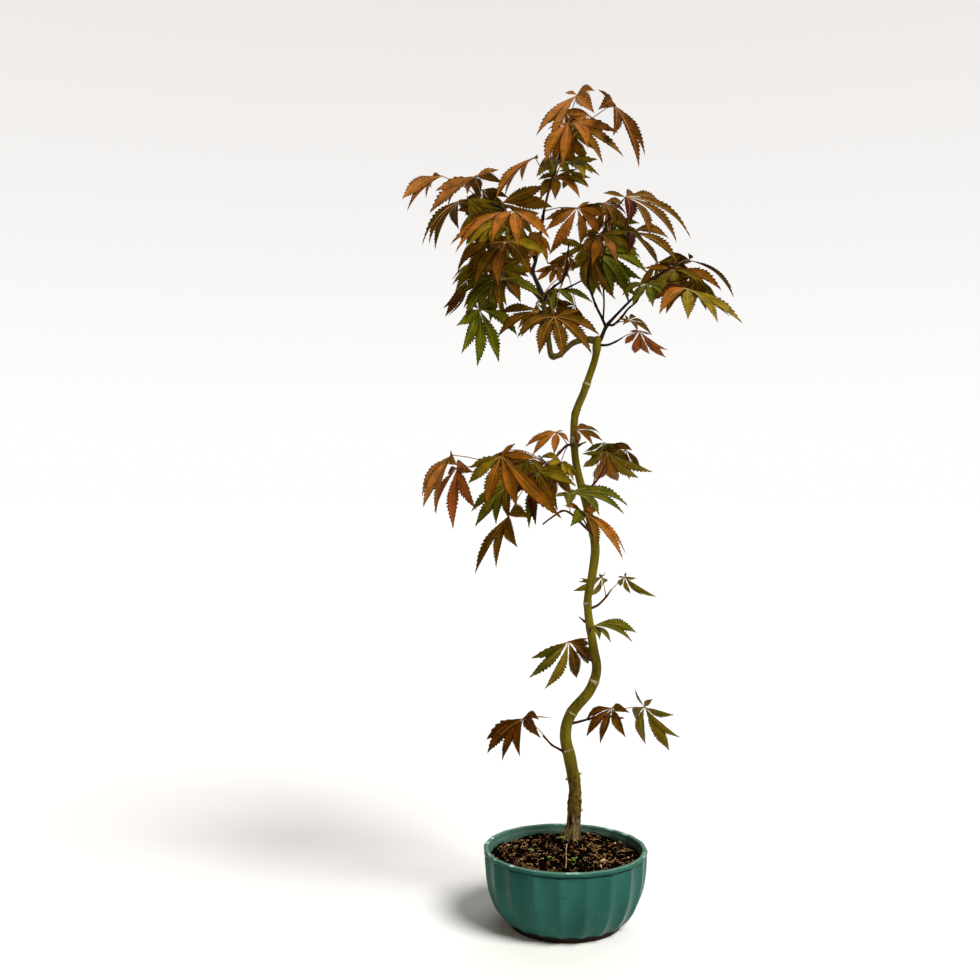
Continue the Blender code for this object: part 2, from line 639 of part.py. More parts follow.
def twig_lines(mass, tree):
    """The mass's twigs, tapering, with the stem's end seated on its carrier."""
    lines = []
    for number, places in enumerate(mass.twigs):
        thick = TWIG_THICK if number == 0 else TWIG_THIN * 1.2
        last = len(places) - 1
        points = []
        for index, (x, z, depth) in enumerate(places):
            points.append((x, z, depth, thick + (TWIG_THIN - thick) * index / last))
        line = route(points)
        lines.append(seated(line, tree, TWIG_SIDES) if number == 0 else line)
    return lines


def petiole(hub, lines):
    """A leaf's stalk from the nearest twig, arching up to the hub."""
    best = None
    for line in lines:
        for index, point in enumerate(line):
            gap = (point.xyz - hub).length
            if best is None or gap < best[0]:
                best = (gap, line, index)
    gap, line, index = best
    back = gap * PETIOLE_BACK
    while index > 0 and back > 0:
        back -= (line[index] - line[index - 1]).xyz.length
        index -= 1
    root = line[index].xyz
    span = hub - root
    crown = (root + hub) / 2 + Vector((0.0, 0.0, 1.0)) * (span.length * PETIOLE_ARCH)
    beyond = hub + span.normalized() * 0.8
    points = []
    for step in range(3):
        t = step / 2
        place = root * (1 - t) ** 2 + crown * (2 * t * (1 - t)) + beyond * t ** 2
        points.append(Vector((*place, PETIOLE_RADIUS)))
    return points


def leaf_parts(leaf, depth, lines, spare=0.0):
    hub, points, faces = blade(leaf, depth, spare)
    stalk = petiole(hub, lines)
    for point in stalk:
        point.w += spare
    return [(points, faces), tube(stalk, TWIG_SIDES)]


def touches(parts, others):
    trees = [tree_of(points, faces) for points, faces in parts]
    return any(tree.overlap(other) for tree in trees for other in others)


def placed(leaf, lines, others):
    """The leaf's first depth, nudged along the line of sight, where it touches nothing."""
    for step in range(2 * NUDGES + 1):
        shift = NUDGE * ((step + 1) // 2) * (1 if step % 2 else -1)
        depth = leaf.depth + shift
        if not touches(leaf_parts(leaf, depth, lines, CLEAR), others):
            return depth
    return None


def hidden(leaf, depth, trees):
    """Whether the leaves in front hide enough of this one from EYE."""
    hub, lobes = lobes_of(leaf, depth)
    seen_from = [hub]
    for _, run, _, _ in lobes:
        seen_from += [hub + run * share for share in (0.5, 0.8, 1.0)]
    covered = 0
    for point in seen_from:
        toward = EYE - point
        if any(tree.ray_cast(point, toward)[0] for tree in trees):
            covered += 1
    return covered >= HIDDEN_SHARE * len(seen_from)


def back_leaf(mass, rng):
    """A leaf of this mass's kind, behind one of those that show."""
    model = rng.choice(mass.leaves)
    turn = math.radians(rng.uniform(210, 330))
    length = rng.uniform(34, 48)
    tips = []
    for swing, share in ((-62, 0.8), (0, 1.0), (62, 0.8)):
        angle = turn + math.radians(swing + rng.uniform(-8, 8))
        tips.append((length * share * math.cos(angle), length * share * math.sin(angle)))
    hub = (model.hub[0] + rng.uniform(-22, 22), model.hub[1] + rng.uniform(-22, 22))
    return Leaf(hub, rng.uniform(30, 95), *tips, (-3, 3))


def grow(trees):
    """Every mass: its twigs, and the leaves that find room in it."""
    rng = random.Random(SEED)
    twigs = {name: twig_lines(mass, trees[mass.carrier]) for name, mass in MASSES.items()}
    held = {}
    for name, lines in twigs.items():
        held[name] = [tree_of(*tube(line, TWIG_SIDES)) for line in lines]
    limbs = list(trees.values())
    kept = {name: [] for name in MASSES}

    def others(name):
        return limbs + [tree for key, found in held.items() if key != name for tree in found]

    def keep(name, leaf, depth):
        parts = leaf_parts(leaf, depth, twigs[name])
        kept[name] += parts
        held[name] += [tree_of(points, faces) for points, faces in parts]

    for name, mass in MASSES.items():
        for leaf in map(unfolded, mass.leaves):
            depth = placed(leaf, twigs[name], others(name))
            if depth is not None:
                keep(name, leaf, depth)
    for name, mass in MASSES.items():
        found = 0
        for _ in range(HIDDEN_TRIES):
            if found == mass.fill:
                break
            leaf = unfolded(back_leaf(mass, rng))
            in_front = [tree for blades in held.values() for tree in blades]
            if not hidden(leaf, leaf.depth, in_front):
                continue
            if touches(leaf_parts(leaf, leaf.depth, twigs[name], CLEAR), others(name)):
                continue
            keep(name, leaf, leaf.depth)
            found += 1
    return twigs, kept


def open_edges(mesh):
    shape = bmesh.new()
    shape.from_mesh(mesh)
    found = sum(len(edge.link_faces) != 2 for edge in shape.edges)
    shape.free()
    return found


def keep_outside(mesh):
    """Takes away all but the largest closed surface: loose scraps and the walls of sealed hollows."""
    shape = bmesh.new()
    shape.from_mesh(mesh)
    left = set(shape.verts)
    islands = []
    while left:
        island = set()
        edge_of = [left.pop()]
        while edge_of:
            vert = edge_of.pop()
            island.add(vert)
            for edge in vert.link_edges:
                other = edge.other_vert(vert)
                if other in left:
                    left.remove(other)
                    edge_of.append(other)
        islands.append(island)
    islands.sort(key=len)
    for island in islands[:-1]:
        bmesh.ops.delete(shape, geom=list(island), context="VERTS")
    shape.to_mesh(mesh)
    shape.free()


def make_mass(name, lines, parts, look):
    """Joins a mass's twigs, stalks and blades into one solid."""
    shapes = [tube(line, TWIG_SIDES) for line in lines] + parts
    pieces = bpy.data.collections.new(name + "_pieces")
    bpy.context.scene.collection.children.link(pieces)
    stem = solid(name, *shapes[0], look)
    for index, (points, faces) in enumerate(shapes[1:]):
        solid(f"{name}_piece_{index}", points, faces, look, pieces)
    union = stem.modifiers.new("join", "BOOLEAN")
    union.operation = "UNION"
    union.operand_type = "COLLECTION"
    union.collection = pieces
    for solver in ("EXACT", "MANIFOLD"):
        union.solver = solver
        graph = bpy.context.evaluated_depsgraph_get()
        joined = bpy.data.meshes.new_from_object(stem.evaluated_get(graph))
        if not open_edges(joined):
            break
    keep_outside(joined)
    stem.modifiers.clear()
    stem.data = joined
    for piece in list(pieces.objects):
        bpy.data.objects.remove(piece)
    bpy.data.collections.remove(pieces)


def main():
    for old in list(bpy.data.objects):
        bpy.data.objects.remove(old)
    make_pot()
    foot, trees = make_limbs()
    make_soil(foot)
    foliage = material("maple_foliage", (0.130, 0.075, 0.018), 0.55)
    twigs, kept = grow(trees)
    for name in MASSES:
        make_mass(name, twigs[name], kept[name], foliage)


if __name__ == "__main__":
    main()
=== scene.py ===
"""Looks of a potted maple bonsai: leaves, bark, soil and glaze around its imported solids.

Lengths are in millimetres and become metres when a mesh is made. +Z is up, +X is to the right as seen
from the front, and the origin is on the pot's axis, at its underside. Places on the tree are given as
they show from EYE, in the upright plane through the pot's axis, with their depth behind that plane.
"""

import math
import random
from collections import namedtuple

import bmesh
import bpy
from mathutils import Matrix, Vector, noise
from mathutils.bvhtree import BVHTree


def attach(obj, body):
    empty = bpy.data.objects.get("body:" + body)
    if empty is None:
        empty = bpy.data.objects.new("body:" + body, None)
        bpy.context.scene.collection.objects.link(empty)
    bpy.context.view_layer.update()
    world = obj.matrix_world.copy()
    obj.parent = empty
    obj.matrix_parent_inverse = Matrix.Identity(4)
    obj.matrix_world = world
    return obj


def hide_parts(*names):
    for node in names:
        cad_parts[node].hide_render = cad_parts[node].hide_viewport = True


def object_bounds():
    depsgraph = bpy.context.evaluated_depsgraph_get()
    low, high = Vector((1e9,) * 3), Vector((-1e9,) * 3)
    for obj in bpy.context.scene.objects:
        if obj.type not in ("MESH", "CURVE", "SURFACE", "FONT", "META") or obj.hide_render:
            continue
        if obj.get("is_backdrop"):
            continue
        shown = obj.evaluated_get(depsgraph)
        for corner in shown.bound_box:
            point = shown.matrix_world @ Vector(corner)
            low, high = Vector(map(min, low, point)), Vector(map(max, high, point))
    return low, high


bl_info = {
    "name": "Potted Maple Bonsai",
    "version": (1, 0, 0),
    "blender": (4, 5, 0),
    "location": "3D View > Sidebar > Bonsai",
    "description": "Dresses a small potted maple with leaves, bark, soil and a glazed bowl",
    "category": "Add Mesh",
}

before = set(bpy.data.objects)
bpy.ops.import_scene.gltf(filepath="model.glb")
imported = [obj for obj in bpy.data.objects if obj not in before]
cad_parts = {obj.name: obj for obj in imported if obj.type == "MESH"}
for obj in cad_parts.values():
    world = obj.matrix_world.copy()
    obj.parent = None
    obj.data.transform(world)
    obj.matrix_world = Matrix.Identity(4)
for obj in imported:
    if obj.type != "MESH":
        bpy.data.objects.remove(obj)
CAD_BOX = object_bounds()
BODY = "root"
MM = 0.001
SEED = 7
CLEAR = 0.3  # gap between a mass and its neighbours
EYE = Vector((-75.0, -1150.0, 432.0))
SENSOR, LENS = 36.0, 42.24  # width and focal length in mm

# Bowl
FLUTES = 20
FLUTE_STEPS = 14
FLUTE_TURN = math.radians(-97.2)
FLUTE_ROUND = 0.35  # how much a flute's edge is rounded off
EDGE_FROM = 0.86  # the rounding starts at this share of a flute's half width
LIP_FROM = 71.0  # the flutes' hollows end at this height
INNER_WALL = 22  # the rings of the profile from this one on are inside the bowl
PROFILE_STEPS = 3
FOOT_SIDES = 120
# Outside from the foot's top to the lip, over the lip and down inside: (radius, height, how fluted)
BOWL_PROFILE = (
    (57.5, 6.4, 0.0), (58.8, 5.8, 0.3), (60.8, 6.0, 0.5), (62.0, 7.1, 0.7), (63.4, 8.4, 0.9),
    (66.6, 12.0, 1.0), (71.4, 19.0, 1.0), (75.0, 27.0, 1.0), (77.6, 34.5, 1.0), (79.3, 42.0, 1.0),
    (80.5, 49.5, 1.0), (81.2, 57.0, 1.0), (81.5, 63.0, 1.0), (81.6, 69.0, 1.0), (81.4, 70.6, 1.0),
    (81.5, 71.6, 1.0), (82.1, 72.2, 1.0), (82.2, 73.2, 1.0), (82.0, 74.4, 1.0), (81.2, 75.2, 0.9),
    (79.8, 75.5, 0.8), (78.0, 75.3, 0.7), (76.8, 74.2, 0.6), (76.2, 71.5, 0.5), (75.5, 66.0, 0.3),
    (74.2, 57.0, 0.0),
)
FOOT_PROFILE = (
    (0.5, 0.0), (54.6, 0.0), (55.7, 0.6), (56.0, 1.6), (56.0, 3.4), (56.8, 5.4), (57.5, 6.4), (40.0, 6.6),
)

# Soil
SOIL_EDGE = 66.5
SOIL_REACH = 74.7
MOUND_HEIGHT = 8.6
MOUND_WIDTH = 26.0
SOIL_WAVE = 0.9
SOIL_WAVES = ((0.11, 0.07, 0.0), (0.05, -0.13, 1.0))  # radians to the mm along x and y, and the start
SOIL_RINGS = 50
SOIL_SIDES = 160
SOIL_SKIN = 9.0  # depth of the visible bed
SOIL_LUMPS = ((0.09, 1.3), (0.3, 0.9), (0.8, 0.5))  # how tightly packed and how high
LUMP_SINK = 0.4  # how far the lumpy surface lies below the even one
CRUMB_SHARES = {"dark": 86, "brown": 11, "tan": 3}
CRUMB_SIZES = (0.42, 2.2)  # the smallest and the largest
CRUMB_SKEW = 2.0  # the higher, the fewer large crumbs
FINE_CRUMB = 1.1  # crumbs above this size have more faces
CRUMB_LONG = (1.0, 1.7)  # how much longer than wide a crumb is
CRUMB_ROUGH = (0.85, 0.45, 1.3)  # its mean reach, what its bumps add or take, and how tight they are
CRUMB_SHIFT = 50  # crumbs take their bumps from places up to this far apart
CRUMB_SQUASH, CHIP_SQUASH = 0.75, 0.5  # height over width
CRUMB_SEAT, CHIP_SEAT = 0.25, 0.5  # how high its middle lies over the soil, over its size
CHIP_SIZES = (0.5, 1.1)
CRUMB_GAP, FIBRE_GAP, FIBRE_END_GAP = 3.0, 4.0, 2.0  # how near the wall they come
FOOT_OVERLAP = 1.0  # how far they reach under the trunk's foot
# Pale chips that show: (x, y, size)
CHIPS = ((35.9, -21.6, 2.9), (32.2, -39.6, 2.4), (59.8, 42.5, 1.7), (-56.6, 25.8, 2.0), (54.0, 36.0, 1.4),
         (-12.2, -39.6, 1.7), (26.8, 58.0, 1.6), (21.0, 8.0, 1.4), (62.0, -6.0, 1.9), (-30.0, -30.0, 1.3))
FIBRE_STEPS = 7
FIBRE_SIDES = 5
FIBRE_LIFT = 0.5
FIBRE_LENGTHS = (3, 12)
FIBRE_RADII = (0.14, 0.32)
FIBRE_TAPER = 0.5  # what a fibre loses of its radius towards its end
FIBRE_CURL = 0.55  # most that a fibre turns at each step
FIBRE_SWAY = 0.3  # how much a step strays from that curl
FIBRE_HOPS = (0.3, 1.5)  # how high a fibre's middle stands off the soil
ROOTLETS = 5  # one fibre in this many is a dark rootlet
# Seedlings: (x, y, height, leaf size)
SEEDLINGS = ((-32.7, 6.0, 5.0, 3.6), (-0.4, 22.0, 5.0, 3.8), (5.5, -24.0, 5.5, 4.4), (9.0, -20.0, 4.5, 3.4),
             (-18.1, -21.6, 5.0, 2.6))
SEED_LEAVES = (3, 4)
SEED_LEAF_TURN = 1.7  # radians from one seed leaf to the next
SEED_LEAF_SIDES = 14
SEED_LEAF_SHAPE = (0.6, 0.48, 0.15)  # half its length, half its width and its cup, over its size
SEED_LEAF_SPREAD = (0.7, 1.0)
SEED_LEAF_RISES = (0.1, 0.5)
SEED_LEAF_THICK = 0.12  # half the thickness
SEED_STEM = 0.3
SEED_STEM_SIDES = 6
SEED_STEM_BEND = Vector((0.4, 0.2, 0.0))  # how far its middle stands aside
SEED_SINK = 0.5  # how far below the surface it starts
SEED_LEAN = 1.5  # most that a stem leans, level
STRAW = ((3.0, 16.0), (1.0, 0.0), (0.0, -20.0), (-2.5, -45.0))
STRAW_RISE = 1.5  # how high the straw lies on the soil
STRAW_RADIUS = 0.5
STRAW_STEPS, STRAW_SIDES = 4, 7

# Trunk: (x, z, radius) from the soil to the fork, as seen from the front
TRUNK = (
    (5.5, 86.0, 9.4), (8.4, 98.0, 6.6), (9.4, 117.0, 7.0), (9.9, 136.0, 6.1), (5.2, 162.0, 6.3),
    (0.4, 188.0, 5.7), (6.5, 209.0, 5.5), (24.4, 231.0, 5.2), (31.6, 252.0, 4.8), (28.0, 277.0, 4.5),
    (22.6, 318.0, 4.0), (27.3, 347.0, 4.4), (30.0, 378.0, 4.5), (21.9, 416.0, 4.2), (10.9, 460.0, 3.7),
    (9.6, 503.0, 3.8), (19.3, 531.0, 3.7), (30.0, 563.0, 3.5), (32.2, 582.0, 4.2),
)
TRUNK_DEPTH = 36.0  # how far behind the pot's axis its foot is
TRUNK_LEAN = 1.5  # power by which it comes forward from there to the fork
TRUNK_SIDES = 32
TRUNK_STEPS = 16
BOUGH_SIDES = 20
BOUGH_STEPS = 10
BOUGH_COLLAR = (0.30, 5.0)  # how much a bough swells near its start, and over how many rings
SEAT_RINGS = 4  # a stem's first rings, which stand clear of its carrier
SEAT_STEP = 0.1  # its start moves on by this much until they do
DOME = ((0.35, 0.93), (0.65, 0.76), (0.88, 0.48), (1.0, 0.12))  # a rounded end, over its radius
ROOT_TOP = 101.0  # the ridged root base ends here
ROOT_BLEND = 8.0  # its ridges rise over this height
ROOT_RIDGES = ((7, 0.6, 0.09), (11, 2.0, 0.06), (17, 0.0, 0.04))  # how many, start and height
ROOT_DROPS = (5.0, 2.5)  # the trunk goes this far down into the soil
ROOT_SPREAD = 0.3  # and gets this much thicker for each mm
OLD_BARK = 148.0  # rough bark below, smooth above
OLD_BLEND = 30.0  # its roughness fades out over this height
# Unevenness of the bark: height in mm, how tight round the trunk, and how tight along it
SMOOTH_SWELL, SMOOTH_TIGHT, SMOOTH_ALONG = 0.22, 1.6, 0.045
ROUGH_SWELL, ROUGH_TIGHT, ROUGH_ALONG = 0.9, 2.6, 0.21
# Where shoots once grew: (height, swelling in mm, half height)
TRUNK_NODES = (
    (136.0, 0.5, 5.0), (165.0, 0.25, 1.6), (205.0, 0.3, 1.6), (236.0, 0.35, 2.2), (292.0, 0.4, 3.0),
    (317.0, 0.55, 2.6), (388.0, 0.5, 3.0), (434.0, 0.3, 2.5), (479.0, 0.6, 3.0), (509.0, 0.45, 2.2),
    (537.0, 0.45, 2.2), (574.0, 0.6, 4.0),
)
BOUGH_NODE = (0.22, 1.6)  # the same at every other place of a bough: (swelling, half height)
# Pale rings where a shoot ended: (height, the steps of the trunk's line that it spans, how proud)
PALE_RINGS = ((165.0, 1, 0.10), (205.0, 1, 0.12), (236.0, 2, 0.14), (317.0, 1, 0.12), (479.0, 2, 0.12),
              (537.0, 1, 0.10))
# Pruning scars: (height, turn from the front towards the right, size)
SCARS = ((116.0, 0.7, 1.5), (104.0, 1.0, 1.5), (235.0, 0.25, 1.2), (136.0, -1.2, 1.6), (141.0, 1.4, 1.4))
SCAR_SEAT = 0.96  # where a scar starts, over the trunk's radius
# Short spurs seen from the front: (x, height, end x, end height, thickness)
SPURS = ((20.0, 300.0, 14.0, 305.0, 1.0), (13.0, 476.0, 21.0, 480.0, 1.1), (24.0, 392.0, 14.0, 411.0, 0.8),
         (9.0, 509.0, 16.0, 512.0, 0.9))
# Along a spur: (share of the way, rise, depth, radius over its thickness)
SPUR_SHAPE = ((0.0, 0.0, 0.0, 1.5), (0.5, 0.4, -2.0, 0.9), (1.0, 0.0, -3.0, 0.55))
SPUR_STEPS = 5
# Root strands
STRAND_STEP = 3  # the points of the trunk's line from one of a strand's to the next
STRAND_FINE_STEPS = 3
STRAND_SIDES = 9
STRAND_RADII = (0.7, 1.5)
STRAND_TURN = 0.15  # how far a strand starts aside of its place
STRAND_SWAY = 0.09  # and how far it strays at each point
STRAND_SEAT = 0.93  # where a strand runs, over the trunk's radius
STRAND_SEAT_SPREAD = (-0.25, 0.35)  # and in or out from there in mm
STRAND_START = (0.35, 0.25)  # its first radius over the full one, and the gain with each point
STRAND_TAPER = 0.08  # loss of radius for each mm that it drops into the soil
STRAND_FEET = ((0.6, 1.8, 1.8), (1.0, 4.0, 5.0))  # its last points: least and most way out, and drop

# Boughs: the route of each (x, z, depth, radius) as seen from the front
BOUGHS = {
    "left_bough": (
        (31.0, 581.0, 0.0, 3.0), (22.0, 582.5, -1.0, 2.9), (9.0, 579.5, -4.0, 2.8),
        (1.0, 573.0, -6.0, 2.8), (-4.6, 567.6, -7.0, 2.8), (-10.2, 565.2, -8.0, 2.8),
    ),
    "left_bough_upper": (
        (-9.0, 565.0, -8.0, 2.8), (-13.8, 567.0, -8.0, 2.8), (-15.6, 576.0, -8.0, 2.7),
        (-17.4, 593.0, -8.0, 2.6), (-20.5, 612.0, -8.0, 2.5), (-22.4, 626.0, -8.0, 2.4),
    ),
    "leader": (
        (-22.4, 624.0, -8.0, 2.3), (-26.5, 636.0, -7.0, 2.2), (-32.0, 650.0, -5.0, 2.0),
        (-29.5, 661.0, -3.0, 1.8), (-26.8, 674.0, -1.0, 1.7), (-24.0, 691.0, 1.0, 1.6),
        (-22.0, 706.0, 2.0, 1.6),
    ),
    "right_bough": (
        (33.0, 579.0, 0.0, 2.0), (37.0, 586.0, 1.0, 1.9), (41.6, 596.0, 2.0, 1.9),
        (48.0, 603.4, 3.0, 1.5), (60.0, 616.0, 5.0, 1.3), (75.0, 631.0, 8.0, 1.1),
    ),
}

# Leaves: seven lobes fan out from a hub, and the tips of three of them give the leaf's attitude
LOBE_STEP = math.radians(33.0)
BASAL_TURN = math.radians(107.0)
LOBE_LENGTHS = (1.0, 0.95, 0.78, 0.38)
LOBE_SLANT = 0.8  # most that a lobe turns its width into the line of sight
LOBE_SHAPE = ((0.30, 0.085), (0.60, 0.100))  # share of the length, half width over length
ROOM = 0.45  # half a lobe takes no more than this share of the angle to its neighbour
SINUS = 0.13  # how near the hub the lobes part, over their length
BACK_SINUS = 0.5  # the same between the lobes beside the stalk, over the others
ARCHES = (0.12, 0.13, 0.12, 0.04)  # rise of a level lobe between hub and tip, over its length
PLUMB_ARCH = 0.35  # share of that rise in a lobe that hangs straight down
FACE_RISE, UP_RISE = 0.6, 0.4  # a lobe arches towards its face and straight up
FACING = Vector((0.0, -1.0, 0.6))  # leaves turn their faces this way
BLADE = 0.9  # thickness of a coarse blade under the midrib
UNDERSIDE = 0.4  # how far it reaches below the hub, over that
MAX_SLOPE = 46.0  # most that a lobe's tip lies before or behind its hub
BASAL_LOBES = (-3, 3)
# Lobes left out in turn until a leaf no longer cuts through itself
SPARED = ((), BASAL_LOBES, (-3, -2, 3), (-3, 2, 3), (-3, -2, 2, 3))
PETIOLE_RADIUS = 0.6
PETIOLE_ARCH = 0.12
PETIOLE_BACK = 0.25  # a leaf's stalk leaves the twig this share of its length nearer the root
PETIOLE_END = 0.8  # and runs on this far beyond the hub
TWIG_SIDES = 3
TWIG_THICK = 1.5
TWIG_THIN = 0.8
SIDE_TWIG = 1.2  # a side twig starts this much thicker than it ends
NUDGE = 5.0  # a leaf that touches another mass or a limb moves along the line of sight
NUDGES = 15
SIGHT_SHARES = (0.5, 0.8, 1.0)  # places along a lobe that are looked at from EYE
# Leaves behind those that show: their turn, lobes (turn, length) and strays in degrees, and how far off
BACK_TURNS = (210, 330)
BACK_LOBES = ((-62, 0.8), (0, 1.0), (62, 0.8))
BACK_STRAY = 8
BACK_SPREAD = 22
HIDDEN_TRIES = 400  # how often a place is tried for them in a mass

# Fine leaves
TEETH = 13
LEAST_TEETH = 5
TOOTH_FROM = 0.22  # the toothed edge starts at this share of a lobe
TOOTH_TO = 0.94
TOOTH_LEAN = 0.72  # where a tooth's point lies between its notch and the next
TOOTH_SPREAD = (0.5, 1.5)  # how unequal the teeth are
TOOTH_JUT = 0.25  # how far a tooth's point is drawn towards the tip, over the pitch
ACROSS = (-1.0, -0.8, -0.42, 0.0, 0.42, 0.8, 1.0)
EDGES = (0, len(ACROSS) - 2)  # the strips along a lobe's dark margins
THREAD = 0.3  # least half width of a lobe's drawn-out tip
WIDEST = 6.8  # most half width of a long lobe
FIRST_SHARES = (0.0, 0.05, 0.11, 0.17)  # the plain places before a lobe's teeth
LAST_SHARE = 0.97  # and the one after them
SWELL, TAIL = 1.7, 1.6  # how a lobe widens from its hub and draws out to its tip
HUB_SHARE = 0.02  # at its hub a lobe is as wide as at this share
BEND = 0.04  # most that a lobe bends aside, over its length
DROOP = (-0.02, 0.03)  # what is added to a lobe's rise, over its length
FOLD_SPREAD = (0.6, 1.4)  # how unequally lobes are folded
FINE_BLADE = 0.28  # thickness of a leaf
RIB_LOBE = 50.0  # the setting for midribs is for a lobe of this length
RIB_TAPER = 0.92  # what a midrib loses of its width towards the tip
RIB_PROUD = 0.6  # how far a midrib stands out, over its half width
STALK_SIDES = 7
STALK_STEPS = 4
STALK_FLARE = (0.5, 2.0)  # how much a stalk widens at the twig, and over how many points
BUD_SIDES = 8
BUD_STEPS = 3
BUD_SINK = 0.5  # how far a bud starts before its twig's end
KNOB = ((-0.8, 0.35), (-0.2, 0.75), (0.35, 0.3))  # where a leaf's lobes meet: (rise, radius)
BUD = ((0.0, 0.7), (0.72, 1.0), (1.56, 0.75), (2.4, 0.12))  # a bud, over its size
TWIG_BUD = 0.62
BUD_LEANS = (-0.35, 0.35)
TWIG_END = 4  # a bud goes on in the direction of this many last points of its twig
TWIG_FINE_SIDES = 10
TWIG_FINE_STEPS = 8
TWIG_SWELL = (0.32, 1.5)  # how much a twig swells at every other place, and over how many points
CROWN_FLOOR = 560.0  # twigs above this height are dark, and the lower shoots are red

TINTS = ("copper", "amber", "rust", "russet", "sienna", "bronze", "umber", "wine", "olive", "moss", "green")
GREEN_TINTS = ("olive", "moss", "green")

# A leaf's lobes are numbered from -3 on the left to 3 on the right; odd gives those of another tint
Leaf = namedtuple("Leaf", "tint hub depth left middle right bare tips odd", defaults=((), {}, {}))
Mass = namedtuple("Mass", "carrier twigs leaves fill", defaults=(0,))
# Leaves that fill a mass from behind: how much of one is hidden, how long and how deep, in which tints
Filling = namedtuple("Filling", "hidden lengths depths tints")
BACK_LEAVES = Filling(0.8, (34, 48), (30, 95), ())
SHADE_LEAVES = Filling(0.75, (24, 40), (8, 60), ("umber", "bronze", "moss", "umber", "olive"))
SHADE_COUNT = 4  # smaller leaves that the coarse solids leave out, in each full mass

